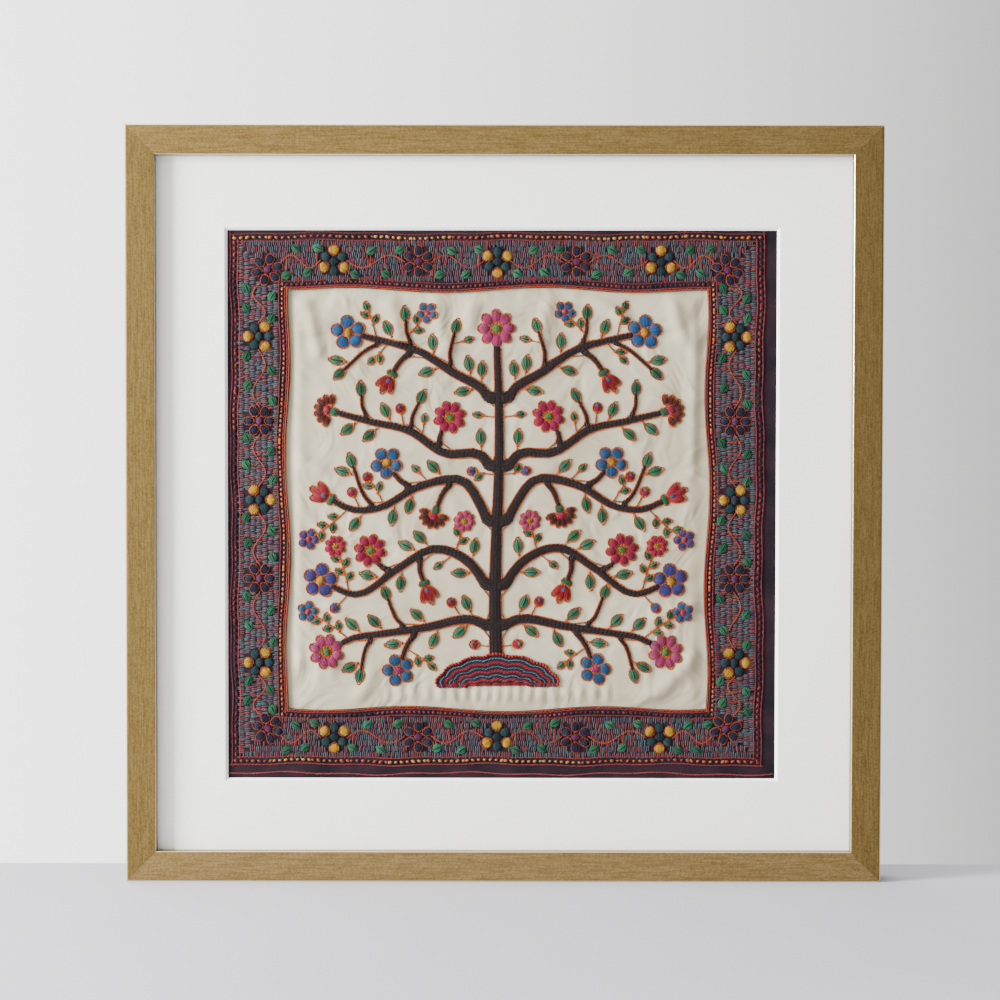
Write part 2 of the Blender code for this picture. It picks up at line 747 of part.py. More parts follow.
def worked_flower(name, kind, centre, radius, heading, steps, on_cloth):
    """A padded flower: a flat outline, pulled up to a smaller ring and then to its heart."""
    shape = bmesh.new()
    bmesh.ops.create_circle(shape, cap_ends=True, segments=steps, radius=1)
    foot = list(shape.verts)
    raised = bmesh.ops.extrude_face_region(shape, geom=list(shape.faces))
    ring = [part for part in raised["geom"] if isinstance(part, bmesh.types.BMVert)]
    cap = [part for part in raised["geom"] if isinstance(part, bmesh.types.BMFace)]
    heart = bmesh.ops.poke(shape, faces=cap)["verts"]
    for vertex in foot + ring:
        # A circle's first point is at its top. It is turned to where the stem comes in.
        angle = atan2(vertex.co.y, vertex.co.x) + pi / 2
        reach = radius * petal_reach(kind, angle)
        share = PETAL_SHARE if vertex in ring else 1
        rise = PETAL_RISE if vertex in ring else 0
        x = centre[0] + share * reach * cos(angle + heading)
        y = centre[1] + share * reach * sin(angle + heading)
        vertex.co = on_cloth(x, y, rise)
    for vertex in heart:
        vertex.co = on_cloth(*centre, HEART_RISE)
    mesh = bpy.data.meshes.new(name)
    shape.to_mesh(mesh)
    shape.free()
    face_outwards(mesh)
    return mesh


def add_flowers(home, headings):
    finishes = {
        kind: material(f"{kind}_wool", row["colour"], 0.9) for kind, row in KINDS.items()
    }
    placed = []
    for side in (1, -1):
        for flower in FLOWERS:
            x, y = flower["place"]
            heading = headings[flower["place"]]
            placed.append((flower, (side * x, y), heading if side == 1 else pi - heading))
    placed.append((TOP_FLOWER, TOP_FLOWER["place"], pi / 2))
    for count, (flower, place, heading) in enumerate(placed, 1):
        kind = flower["kind"]
        name = f"flower_{count:02d}_{kind}"
        steps = KINDS[kind]["steps"]
        mesh = worked_flower(name, kind, place, flower["radius"], heading, steps, on_ground)
        add_piece(name, mesh, finishes[kind], home)


def add_mound(home):
    """Low scalloped mound from which the trunk grows."""
    x, y = MOUND["middle"]
    outline = []
    for step in range(MOUND["steps"] + 1):
        angle = pi * step / MOUND["steps"]
        bump = MOUND["scallop"] * abs(sin(angle * MOUND["scallops"]))
        outline.append(
            (
                x + (MOUND["across"] + bump) * cos(angle),
                y + (MOUND["up"] - MOUND["scallop"] + bump) * sin(angle),
            )
        )
    mesh = outline_mesh("mound", outline, WOOL_THICK / MM)
    for vertex in mesh.vertices:
        px, py, pz = vertex.co
        vertex.co = on_ground(px, py, WOOL_THICK if pz > 0 else 0)
    face_outwards(mesh)
    add_piece("mound", mesh, material("mound_wool", COLOURS["maroon"], 0.9), home)


def add_border_flowers(home):
    """Rosettes at the corners and between trefoils along each side, as the border repeats."""
    navy = material("navy_wool", COLOURS["navy"], 0.9)
    yellow = material("yellow_wool", COLOURS["yellow"], 0.9)
    sides = {"top": pi / 2, "left": pi, "bottom": -pi / 2, "right": 0}
    for side, outward in sides.items():
        for number, along in enumerate(STATIONS, 1):
            kind = "trefoil" if number % 2 else "rosette"
            x = BAND_MIDDLE * cos(outward) - along * sin(outward)
            y = BAND_MIDDLE * sin(outward) + along * cos(outward)
            heading = outward + (pi if number == 3 else 0)
            name = f"border_{side}_{kind}_{number}"
            mesh = worked_flower(
                name, kind, (x, y), BORDER_RADIUS, heading, BORDER_STEPS, on_border
            )
            add_piece(name, mesh, yellow if kind == "trefoil" else navy, home)
    for number, turn in enumerate((45, 135, 225, 315), 1):
        x = CORNER * 2**0.5 * cos(radians(turn))
        y = CORNER * 2**0.5 * sin(radians(turn))
        name = f"border_corner_rosette_{number}"
        mesh = worked_flower(
            name, "rosette", (x, y), BORDER_RADIUS, radians(turn), BORDER_STEPS, on_border
        )
        add_piece(name, mesh, navy, home)


def build():
    for old in list(bpy.data.objects):
        bpy.data.objects.remove(old)
    home = bpy.data.collections.new("crewel_embroidery_panel")
    cutters = bpy.data.collections.new("cutters")
    bpy.context.scene.collection.children.link(home)
    bpy.context.scene.collection.children.link(cutters)
    add_rails(home)
    add_mat(home, cutters)
    add_board(home)
    add_cloths(home)
    headings = add_tree(home)
    add_mound(home)
    add_flowers(home, headings)
    add_border_flowers(home)


build()
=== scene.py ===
"""Looks of a crewel embroidery panel behind a window mat in a gold wooden frame.

Metres, +Z up, and the front faces -Y. A place on the panel is across (to the right),
up (from the middle of the frame) and deep (back from the front of the rails). Worked
designs are drawn in millimetres from the middle of the embroidered field.
"""

from math import atan2, cos, hypot, pi, radians, sin

import bpy
import numpy as np
from mathutils import Matrix


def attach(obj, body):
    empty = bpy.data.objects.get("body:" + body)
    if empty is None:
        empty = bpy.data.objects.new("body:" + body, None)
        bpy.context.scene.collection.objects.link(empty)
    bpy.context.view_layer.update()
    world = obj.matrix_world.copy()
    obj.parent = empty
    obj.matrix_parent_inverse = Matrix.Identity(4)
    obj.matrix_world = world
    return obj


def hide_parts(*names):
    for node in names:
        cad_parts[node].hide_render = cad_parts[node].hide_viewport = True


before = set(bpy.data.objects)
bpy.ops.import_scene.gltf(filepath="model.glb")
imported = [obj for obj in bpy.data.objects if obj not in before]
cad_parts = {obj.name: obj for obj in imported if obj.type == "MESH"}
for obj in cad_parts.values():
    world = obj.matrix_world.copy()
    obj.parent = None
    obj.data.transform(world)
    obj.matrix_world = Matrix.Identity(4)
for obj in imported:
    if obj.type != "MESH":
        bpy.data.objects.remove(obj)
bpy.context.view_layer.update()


# Camera. The photograph was taken from 1.65 m in front of the frame and a little above
# its middle, looking slightly down, so the top edge of the frame is the wider one.
CAMERA_PLACE = (-0.0019, -1.6502, 0.3247)
CAMERA_VIEW = radians(25)
CAMERA_PAN = radians(0.03)
CAMERA_DOWN = radians(1.62)
CAMERA_ROLL = radians(0.08)
lens = bpy.data.cameras.new("camera")
lens.angle = CAMERA_VIEW
camera = bpy.data.objects.new("camera", lens)
bpy.context.scene.collection.objects.link(camera)
camera.matrix_world = (
    Matrix.Translation(CAMERA_PLACE)
    @ Matrix.Rotation(CAMERA_PAN, 4, "Z")
    @ Matrix.Rotation(pi / 2 - CAMERA_DOWN, 4, "X")
    @ Matrix.Rotation(CAMERA_ROLL, 4, "Z")
)
bpy.context.scene.camera = camera


# Ground cloth. A square of unbleached cotton twill that shows inside the worked border.
# The stitching has drawn it into long soft folds, and it puckers along its bottom seam.
MM = 0.001
RAIL_DEPTH = 30 * MM
FRAME_SIDE = 550 * MM
WORK_MIDDLE = (-4.8 * MM, 3.2 * MM)
CLOTH_THICK = 1.2 * MM
GROUND_REACH = 160 * MM
GROUND_DEEP = 12.1 * MM
SEAM = 151 * MM
SEAM_RUN = 10 * MM
FIELD_RISE = 1.0 * MM
SLACK = {"high": 0.25, "across": 31, "up": 37}
FOLDS = [
    {"start": (-147, 142), "end": (-147, -120), "wide": 5, "high": 1.4},
    {"start": (-140, 148), "end": (-131, 108), "wide": 5, "high": 2.2},
    {"start": (-79, 150), "end": (-72, 118), "wide": 6, "high": 2.1},
    {"start": (-46, 150), "end": (-38, 112), "wide": 6, "high": 2.2},
    {"start": (-14, 150), "end": (-20, 128), "wide": 5, "high": 1.8},
    {"start": (38, 150), "end": (33, 118), "wide": 6, "high": 2.2},
    {"start": (66, 150), "end": (92, 134), "wide": 4.5, "high": 2.0},
    {"start": (126, 150), "end": (135, 118), "wide": 5, "high": 2.0},
    {"start": (146, 124), "end": (143, 20), "wide": 5, "high": 1.4},
    {"start": (-148, -114), "end": (-120, -120), "wide": 5, "high": 1.9},
    {"start": (-148, 30), "end": (-128, 22), "wide": 6, "high": 1.5},
    {"start": (116, -85), "end": (148, -76), "wide": 5, "high": 2.0},
    {"start": (108, -150), "end": (148, -112), "wide": 6, "high": 2.3},
    {"start": (-104, -150), "end": (-92, -128), "wide": 5, "high": 1.8},
    {"start": (-70, -147), "end": (66, -146), "wide": 5, "high": 0.9},
]
PUCKER = {"up": -145, "run": 9, "half": 85, "pitch": 8.7, "high": 0.9, "sway": 2, "sway_long": 19}


def linear(code):
    """The linear colour of an sRGB hex value."""
    parts = [int(code[at : at + 2], 16) / 255 for at in (1, 3, 5)]
    return (*(c / 12.92 if c <= 0.04045 else ((c + 0.055) / 1.055) ** 2.4 for c in parts), 1)


def add(tree, kind, inputs=None, stops=None, **settings):
    """Adds a node, with its settings, the values and links of its inputs, and a ramp's stops."""
    made = tree.nodes.new(kind)
    for name, value in settings.items():
        setattr(made, name, value)
    for name, value in (inputs or {}).items():
        if isinstance(value, bpy.types.NodeSocket):
            tree.links.new(value, made.inputs[name])
        else:
            made.inputs[name].default_value = value
    for number, (place, code) in enumerate(stops or []):
        ramp = made.color_ramp.elements
        stop = ramp[number] if number < 2 else ramp.new(place)
        stop.position = place
        stop.color = linear(code)
    return made.outputs


def new_finish(name, roughness, **constants):
    """A material, its node tree and its shader, with the shader's constant inputs set."""
    made = bpy.data.materials.new(name)
    made.use_nodes = True
    shader = made.node_tree.nodes["Principled BSDF"]
    shader.inputs["Roughness"].default_value = roughness
    for label, value in constants.items():
        shader.inputs[label.replace("_", " ")].default_value = value
    return made, made.node_tree, shader.inputs


def on_panel(across, up, deep):
    """World places on the panel, one row for each point."""
    across, up, deep = np.broadcast_arrays(across, up, deep)
    return np.stack([across, deep - RAIL_DEPTH / 2, up + FRAME_SIDE / 2], axis=-1)


def cream_deep(across, up):
    """Depth of the cream cloth's face. It stands a little forward inside its border."""
    edge = np.maximum(abs(across), abs(up))
    inside = np.clip((SEAM - edge) / SEAM_RUN, 0, 1)
    inside = inside * inside * (3 - 2 * inside)
    slack = SLACK["high"] * MM * np.sin(across / (SLACK["across"] * MM))
    lift = slack * np.cos(up / (SLACK["up"] * MM))
    for row in FOLDS:
        start = np.array(row["start"]) * MM
        run = np.array(row["end"]) * MM - start
        share = ((across - start[0]) * run[0] + (up - start[1]) * run[1]) / run.dot(run)
        share = np.clip(share, 0, 1)
        off = np.hypot(across - start[0] - share * run[0], up - start[1] - share * run[1])
        lift = lift + row["high"] * MM * np.exp(-((off / (row["wide"] * MM)) ** 2))
    near = np.exp(-(((up - PUCKER["up"] * MM) / (PUCKER["run"] * MM)) ** 2))
    near = near * (abs(across) < PUCKER["half"] * MM)
    sway = PUCKER["sway"] * np.sin(across / (PUCKER["sway_long"] * MM))
    wave = np.cos(across * 2 * pi / (PUCKER["pitch"] * MM) + sway)
    lift = lift + PUCKER["high"] * MM * near * wave
    return GROUND_DEEP - inside * (FIELD_RISE + lift)


def cloth_sheet(name, lines, deep_at, shift, hole, finish):
    """A square cloth over the given grid lines, with a square hole where hole isn't 0."""
    across, up = np.meshgrid(lines, lines)
    x, y = shift(across, up)
    places = on_panel(x + WORK_MIDDLE[0], y + WORK_MIDDLE[1], deep_at(across, up)).reshape(-1, 3)
    corner = np.arange(len(places)).reshape(across.shape)
    faces = [corner[:-1, :-1], corner[:-1, 1:], corner[1:, 1:], corner[1:, :-1]]
    faces = np.stack(faces, axis=-1).reshape(-1, 4)
    middle = (lines[:-1] + lines[1:]) / 2
    reach = np.maximum(abs(middle[None, :]), abs(middle[:, None])).ravel()
    used, faces = np.unique(faces[reach >= hole], return_inverse=True)
    mesh = bpy.data.meshes.new(name)
    mesh.from_pydata(places[used].tolist(), [], faces.reshape(-1, 4).tolist())
    mesh.shade_smooth()
    mesh.materials.append(finish)
    cloth = bpy.data.objects.new(name, mesh)
    bpy.context.scene.collection.objects.link(cloth)
    thick = cloth.modifiers.new("cloth", "SOLIDIFY")
    thick.thickness = CLOTH_THICK
    thick.offset = -1
    return cloth


# Cotton twill, woven and unbleached: matt and creamy, uneven with age, and creased. Its
# diagonal ribs are drawn 1.4 mm apart, about twice the real spacing, so that they still
# show from where the photograph was taken.
RIB_PITCH = 1.4 * MM
RIB_LEAN = radians(38)
SLUB_SIZE = 1.43 * MM
SOIL_SIZE = 71.4 * MM
CREASE_SIZE = 38.5 * MM
twill, tree, shader = new_finish("unbleached_cotton_twill", 0.95, Specular_IOR_Level=0.2)
place = add(tree, "ShaderNodeTexCoord")["Object"]
leaning = add(tree, "ShaderNodeMapping", {"Vector": place, "Rotation": (0, RIB_LEAN, 0)})
ribs = add(
    tree,
    "ShaderNodeTexWave",
    {"Vector": leaning["Vector"], "Scale": pi / 10 / RIB_PITCH, "Distortion": 2, "Detail": 3},
)
slubs = add(tree, "ShaderNodeTexNoise", {"Vector": place, "Scale": 1 / SLUB_SIZE, "Detail": 3})
age = add(tree, "ShaderNodeTexNoise", {"Vector": place, "Scale": 1 / SOIL_SIZE, "Detail": 4})
soil = add(
    tree, "ShaderNodeValToRGB", {"Fac": age["Fac"]}, stops=[(0.32, "#9d947c"), (0.68, "#b2a992")]
)
thread = add(
    tree, "ShaderNodeValToRGB", {"Fac": ribs["Fac"]}, stops=[(0.1, "#ebe8e2"), (0.7, "#ffffff")]
)
woven = add(
    tree,
    "ShaderNodeMix",
    {0: 1.0, 6: soil["Color"], 7: thread["Color"]},
    data_type="RGBA",
    blend_type="MULTIPLY",
)
relief = add(tree, "ShaderNodeMath", {0: ribs["Fac"], 1: slubs["Fac"]}, operation="ADD")
creases = add(
    tree,
    "ShaderNodeTexNoise",
    {"Vector": place, "Scale": 1 / CREASE_SIZE, "Detail": 2, "Distortion": 1.2},
)
creased = add(
    tree, "ShaderNodeBump", {"Height": creases["Fac"], "Strength": 0.9, "Distance": 4.5 * MM}
)
bump = add(
    tree,
    "ShaderNodeBump",
    {
        "Height": relief["Value"],
        "Strength": 0.4,
        "Distance": 0.1 * MM,
        "Normal": creased["Normal"],
    },
)
tree.links.new(woven[2], shader["Base Color"])
tree.links.new(bump["Normal"], shader["Normal"])

GROUND_LINES = np.linspace(-GROUND_REACH, GROUND_REACH, 153)
ground = cloth_sheet(
    "ground_cloth_twill", GROUND_LINES, cream_deep, lambda x, y: (x, y), 0, twill
)


# Wool. Every motif is worked in two-ply crewel wool, soft and matt, dyed in small lots so
# that no two strands are quite alike. A drawn path holds the places and the dye of each
# strand or line of stitches, and a node tree turns the paths into wool.
HAND_WANDER = (1.4, 1.2)
HAND_LONG = (37, 41)
HAND_START = (0.4, 1.1)
STRAND = 1.1
FIBRE_SIZE = 0.526 * MM
PAINTED_FIBRE_SHADE = 0.47
DYE_LOTS = (0.74, 1.22)
DYE_ALONG = (0.88, 1.1)
ORANGE = "#d9651e"
GREENS = ("#2f7a52", "#256a48", "#3a8560")
VEIN = "#17402f"
needle = np.random.default_rng(11)

wool, tree, shader = new_finish(
    "two_ply_crewel_wool", 0.9, Specular_IOR_Level=0.12, Sheen_Weight=0.08, Sheen_Roughness=0.5
)
dye = add(tree, "ShaderNodeAttribute", attribute_name="dye")
place = add(tree, "ShaderNodeTexCoord")["Object"]
fibre = add(tree, "ShaderNodeTexNoise", {"Vector": place, "Scale": 1 / FIBRE_SIZE, "Detail": 3})
depth = add(
    tree, "ShaderNodeValToRGB", {"Fac": fibre["Fac"]}, stops=[(0.3, "#b4b4b4"), (0.7, "#ffffff")]
)
spun = add(
    tree,
    "ShaderNodeMix",
    {0: 1.0, 6: dye["Color"], 7: depth["Color"]},
    data_type="RGBA",
    blend_type="MULTIPLY",
)
bump = add(
    tree, "ShaderNodeBump", {"Height": fibre["Fac"], "Strength": 0.6, "Distance": 0.15 * MM}
)
tree.links.new(spun[2], shader["Base Color"])
tree.links.new(bump["Normal"], shader["Normal"])


def stitch_tree(name, sizes):
    """An empty node tree with its named inputs: paths, sizes and the wool."""
    made = bpy.data.node_groups.new(name, "GeometryNodeTree")
    made.interface.new_socket("Paths", in_out="INPUT", socket_type="NodeSocketGeometry")
    for label, kind in sizes:
        made.interface.new_socket(label, in_out="INPUT", socket_type=f"NodeSocket{kind}")
    made.interface.new_socket("Wool", in_out="INPUT", socket_type="NodeSocketMaterial")
    made.interface.new_socket("Stitches", in_out="OUTPUT", socket_type="NodeSocketGeometry")
    return made, add(made, "NodeGroupInput")


def end_tree(tree, given, worked):
    """Makes the stitches real, smooth and woollen, and hands them out."""
    real = add(tree, "GeometryNodeRealizeInstances", {"Geometry": worked})
    smooth = add(tree, "GeometryNodeSetShadeSmooth", {"Geometry": real["Geometry"]})
    dyed = add(
        tree,
        "GeometryNodeSetMaterial",
        {"Geometry": smooth["Geometry"], "Material": given["Wool"]},
    )
    add(tree, "NodeGroupOutput", {"Stitches": dyed["Geometry"]})


# Laid strands: one strand along each path, thin at both ends, where it enters the cloth.
laid, given = stitch_tree("laid_strands", [("Strand", "Float"), ("Sides", "Int")])
line = add(laid, "GeometryNodeMeshToCurve", {"Mesh": given["Paths"]})
along = add(laid, "GeometryNodeSplineParameter")["Factor"]
left = add(laid, "ShaderNodeMath", {0: 1.0, 1: along}, operation="SUBTRACT")["Value"]
both = add(laid, "ShaderNodeMath", {0: along, 1: left}, operation="MULTIPLY")["Value"]
swell = add(laid, "ShaderNodeMath", {0: both, 1: 0.25}, operation="POWER")["Value"]
full = add(laid, "ShaderNodeMath", {0: swell, 1: 2**0.5}, operation="MULTIPLY")["Value"]
taper = add(laid, "ShaderNodeMath", {0: full, 1: 0.4}, operation="MAXIMUM")["Value"]
half = add(laid, "ShaderNodeMath", {0: given["Strand"], 1: 0.5}, operation="MULTIPLY")["Value"]
section = add(
    laid, "GeometryNodeCurvePrimitiveCircle", {"Resolution": given["Sides"], "Radius": half}
)
strands = add(
    laid,
    "GeometryNodeCurveToMesh",
    {
        "Curve": line["Curve"],
        "Profile Curve": section["Curve"],
        "Scale": taper,
        "Fill Caps": True,
    },
)
end_tree(laid, given, strands["Mesh"])

# Stem stitch: short plump stitches one after another along each path, all leaning the
# same way. With a wide pitch and a short overlap the same tree makes rows of knots.
stem_stitch, given = stitch_tree(
    "stem_stitch",
    [
        ("Pitch", "Float"),
        ("Overlap", "Float"),
        ("Strand", "Float"),
        ("Lean", "Float"),
        ("Wobble", "Float"),
        ("Uneven", "Float"),
        ("Seed", "Int"),
    ],
)
line = add(stem_stitch, "GeometryNodeMeshToCurve", {"Mesh": given["Paths"]})
even = add(
    stem_stitch,
    "GeometryNodeResampleCurve",
    {"Curve": line["Curve"], "Length": given["Pitch"]},
    mode="LENGTH",
)
tangent = add(stem_stitch, "GeometryNodeInputTangent")["Tangent"]
ahead = add(stem_stitch, "FunctionNodeAlignRotationToVector", {"Vector": tangent}, axis="X")
faced = add(
    stem_stitch,
    "FunctionNodeAlignRotationToVector",
    {"Rotation": ahead["Rotation"], "Vector": (0, -1, 0)},
    axis="Z",
    pivot_axis="X",
)
chance = add(stem_stitch, "FunctionNodeRandomValue", {2: -1.0, 3: 1.0, 8: given["Seed"]})[1]
lean = add(
    stem_stitch,
    "ShaderNodeMath",
    {0: chance, 1: given["Wobble"], 2: given["Lean"]},
    operation="MULTIPLY_ADD",
)
leaning = add(
    stem_stitch, "FunctionNodeAxisAngleToRotation", {"Axis": (0, 0, 1), "Angle": lean["Value"]}
)
turned_to = add(
    stem_stitch,
    "FunctionNodeRotateRotation",
    {"Rotation": faced["Rotation"], "Rotate By": leaning["Rotation"]},
    rotation_space="LOCAL",
)
bead = add(stem_stitch, "GeometryNodeMeshUVSphere", {"Segments": 6, "Rings": 3, "Radius": 0.53})
lying = add(
    stem_stitch,
    "GeometryNodeTransform",
    {"Geometry": bead["Mesh"], "Rotation": (0, radians(90), 0)},
)
reach = add(
    stem_stitch, "ShaderNodeMath", {0: given["Pitch"], 1: given["Overlap"]}, operation="MULTIPLY"
)
stitch_size = add(
    stem_stitch,
    "ShaderNodeCombineXYZ",
    {"X": reach["Value"], "Y": given["Strand"], "Z": given["Strand"]},
)
other = add(stem_stitch, "ShaderNodeMath", {0: given["Seed"], 1: 1}, operation="ADD")["Value"]
luck = add(stem_stitch, "FunctionNodeRandomValue", {2: -1.0, 3: 1.0, 8: other})[1]
pull = add(
    stem_stitch,
    "ShaderNodeMath",
    {0: luck, 1: given["Uneven"], 2: 1.0},
    operation="MULTIPLY_ADD",
)
own_size = add(
    stem_stitch,
    "ShaderNodeVectorMath",
    {0: stitch_size["Vector"], "Scale": pull["Value"]},
    operation="SCALE",
)
stitches = add(
    stem_stitch,
    "GeometryNodeInstanceOnPoints",
    {
        "Points": even["Curve"],
        "Instance": lying["Geometry"],
        "Rotation": turned_to["Rotation"],
        "Scale": own_size["Vector"],
    },
)
end_tree(stem_stitch, given, stitches["Instances"])


def worked(name, paths, tree, sizes, slot, nodes=()):
    """Wool along paths of (places, dye), as one plain mesh that stands for its nodes."""
    counts = [len(places) for places, _ in paths]
    places = np.vstack([places for places, _ in paths])
    last = np.cumsum(counts) - 1
    first = np.delete(np.arange(len(places)), last)
    mesh = bpy.data.meshes.new(name)
    mesh.vertices.add(len(places))
    mesh.vertices.foreach_set("co", places.ravel())
    mesh.edges.add(len(first))
    mesh.edges.foreach_set("vertices", np.stack([first, first + 1], axis=1).ravel())
    dyes = np.array([linear(code) for _, code in paths])
    # All dyes are darkened by the same share: painted shade for the light lost between the fibres.
    dyes[:, :3] *= PAINTED_FIBRE_SHADE * needle.uniform(*DYE_LOTS, (len(paths), 1))
    dyes = np.repeat(dyes, counts, axis=0)
    dyes[:, :3] *= needle.uniform(*DYE_ALONG, (len(places), 1))
    shade = mesh.attributes.new("dye", "FLOAT_COLOR", "POINT")
    shade.data.foreach_set("color", dyes.ravel())
    piece = bpy.data.objects.new(name, mesh)
    bpy.context.scene.collection.objects.link(piece)
    work = piece.modifiers.new("stitches", "NODES")
    work.node_group = tree
    given = {**sizes, "Wool": wool}
    for socket in tree.interface.items_tree:
        if socket.in_out == "INPUT" and socket.name in given:
            work[socket.identifier] = given[socket.name]
    graph = bpy.context.evaluated_depsgraph_get()
    stitched = bpy.data.meshes.new_from_object(piece.evaluated_get(graph))
    piece.modifiers.clear()
    piece.data = stitched
    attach(piece, "root")
    if nodes:
        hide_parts(*nodes)
    return piece


def line_sizes(pitch, overlap, strand, seed, lean=0.15, wobble=0.1, uneven=0.12):
    """Inputs of the stem stitch tree, with pitch and strand in millimetres."""
    return {
        "Pitch": pitch * MM,
        "Overlap": overlap,
        "Strand": strand * MM,
        "Lean": lean,
        "Wobble": wobble,
        "Uneven": uneven,
        "Seed": seed,
    }


def on_cream(x, y, raised):
    """World places of design points on the cream cloth. The needle wanders a little."""
    x, y = np.asarray(x, float), np.asarray(y, float)
    over = (x + HAND_WANDER[0] * np.sin(y / HAND_LONG[0] + HAND_START[0])) * MM
    rise = (y + HAND_WANDER[1] * np.sin(x / HAND_LONG[1] + HAND_START[1])) * MM
    deep = cream_deep(over, rise) - np.asarray(raised) * MM
    return on_panel(over + WORK_MIDDLE[0], rise + WORK_MIDDLE[1], deep)


def turned(vector, angle):
    x, y = vector
    return np.array((x * cos(angle) - y * sin(angle), x * sin(angle) + y * cos(angle)))


def padded_oval(cloth, middle, turn, long, wide, rise, dye, sharp=2):
    """Strands laid side by side along a padded oval with round (2) or pointed (1) ends."""
    count = max(2, round(2 * wide / (STRAND * 0.9)))
    paths = []
    for off in (np.arange(count) + 0.5) / count * 2 - 1:
        half = long * max(0.22, (1 - abs(off) ** sharp) ** 0.5) * needle.uniform(0.93, 1.0)
        x = np.array([-half, -0.6 * half, 0.6 * half, half])
        y = np.full(4, off * wide)
        high = rise * (0.5 + 0.5 * (1 - off * off)) * np.array([0.05, 1, 1, 0.05])
        across, up = turned((x, y), turn)
        paths.append((cloth(across + middle[0], up + middle[1], high), dye))
    return paths


def oval_edge(cloth, middle, turn, long, wide, dye, sharp=2):
    """The line of stitches round an oval."""
    x = (long + 0.35) * np.sin(np.linspace(-pi / 2, pi / 2, 10))
    y = (wide + 0.35) * (1 - (x / (long + 0.35)) ** 2).clip(0) ** (1 / sharp)
    x, y = turned((np.concatenate([x, x[::-1]]), np.concatenate([y, -y[::-1]])), turn)
    return cloth(x + middle[0], y + middle[1], 0.35), dye


def worked_leaf(cloth, foot, way, stalk, long, wide, line_dye):
    """The strands of a pointed leaf with its darker vein, and the lines round and below it."""
    middle = foot + way * (stalk + long)
    turn = atan2(way[1], way[0])
    green = GREENS[int(needle.integers(len(GREENS)))]
    blade = padded_oval(cloth, middle, turn, long, wide, 0.9, green, 1)
    vein = middle + np.outer([-0.8, -0.3, 0.3, 0.75], way * long)
    blade.append((cloth(*vein.T, np.array([0.5, 1.15, 1.15, 0.5])), VEIN))
    edges = [oval_edge(cloth, middle, turn, long, wide, line_dye, 1)]
    if stalk > 0:
        edges.append((cloth(*(foot + np.outer([0, 0.5, 1], way * stalk)).T, 0.35), line_dye))
    return blade, edges


# The flowering tree. It is worked on the cream cloth in rows of dark brown stem stitch,
# with an orange line round every branch. The left half mirrors the right one. A stem
# ends at its flower's petals, at the given share of the flower's radius.
TRUNK = ((0, -113.7), (0, -60), (0, 0), (0, 60), (0, 115))
TRUNK_WIDE = (9.6, 5.0)
BRANCH_WIDE = (7.0, 4.0)
TWIG_WIDE = (3.8, 3.0)
SPRIG_WIDE = (2.6, 2.0)
BRANCHES = [
    {"foot": -96, "route": ((20, -88), (50, -93), (82, -97), (104, -100))},
    {"foot": -74, "route": ((20, -46), (46, -36), (72, -50), (100, -68))},
    {"foot": -34, "route": ((12, -6), (28, 14), (58, 10), (84, -4), (106, -6))},
    {"foot": 10, "route": ((14, 32), (40, 34), (66, 51), (94, 58))},
    {"foot": 52, "route": ((10, 78), (32, 92), (56, 108), (80, 116))},
]
FLOWERS = [
    {"branch": 0, "share": 1.00, "place": (124, -110), "radius": 13, "kind": "aster"},
    {"branch": 0, "share": 0.50, "place": (72, -124), "radius": 12, "kind": "round"},
    {"branch": 1, "share": 0.42, "place": (50, -66), "radius": 12, "kind": "tulip"},
    {"branch": 1, "share": 1.00, "place": (128, -58), "radius": 13, "kind": "round"},
    {"branch": 1, "share": 0.62, "place": (92, -36), "radius": 12, "kind": "aster"},
    {"branch": 2, "share": 0.28, "place": (46, -10), "radius": 12, "kind": "carnation"},
    {"branch": 2, "share": 1.00, "place": (127, 4), "radius": 13, "kind": "tulip"},
    {"branch": 2, "share": 0.55, "place": (82, 28), "radius": 12, "kind": "round"},
    {"branch": 3, "share": 0.32, "place": (36, 60), "radius": 12, "kind": "aster"},
    {"branch": 3, "share": 1.00, "place": (123, 66), "radius": 13, "kind": "carnation"},
    {"branch": 4, "share": 0.62, "place": (80, 88), "radius": 12, "kind": "tulip"},
    {"branch": 4, "share": 1.00, "place": (108, 123), "radius": 13, "kind": "round"},
]
SPRIGS = [
    {"branch": 0, "share": 0.78, "tip": (99, -122)},
    {"branch": 0, "share": 0.55, "tip": (78, -73)},
    {"branch": 2, "share": 0.74, "tip": (106, 24)},
    {"branch": 3, "share": 0.55, "tip": (59, 70)},
    {"branch": 3, "share": 0.78, "tip": (100, 76)},
    {"branch": 4, "share": 0.86, "tip": (111, 97)},
    {"branch": 4, "share": 0.28, "tip": (31, 120)},
    {"branch": 4, "share": 0.58, "tip": (66, 130)},
]
TOP_FLOWER = {"place": (0, 124), "radius": 14, "kind": "aster"}
STEM_ENDS = {"aster": 1.0, "round": 0.76, "tulip": 0.62, "carnation": 0.46}
STEM_GAP = 0.6
LEAF_LONG = 12.5
LEAF_WIDE = 7.4
LEAF_STALK = 3.4
LEAF_TURN = radians(52)
LEAF_SHARES = (0.24, 0.56, 1.0)
LEAF_CLEAR = 1.6
LEAF_MARGIN = 10.0
FIELD = 152.7
STEM_STEP = 8.0
TWIG_STEP = 6.0
TWIG_SPRING = 0.4
TWIG_LEAD = 3.0
FOOT_SHARE = 0.42
FOOT_COVER = 1.5
FOOT_CLEAR = 0.6
FOOT_FLARE = 0.1
FOOT_FLARE_LONG = 2.2
FOOT_HIDDEN = 0.65
FOOT_SLANT = 0.6
ROW_INSET = 0.6
ROW_LEAST = 0.15
ROW_PITCH = 0.8 * STRAND
MOUND = {"middle": (0, -137), "across": 44, "up": 23, "scallops": 7, "scallop": 1.6}
BARKS = ("#2c2121", "#271c20", "#382a27")


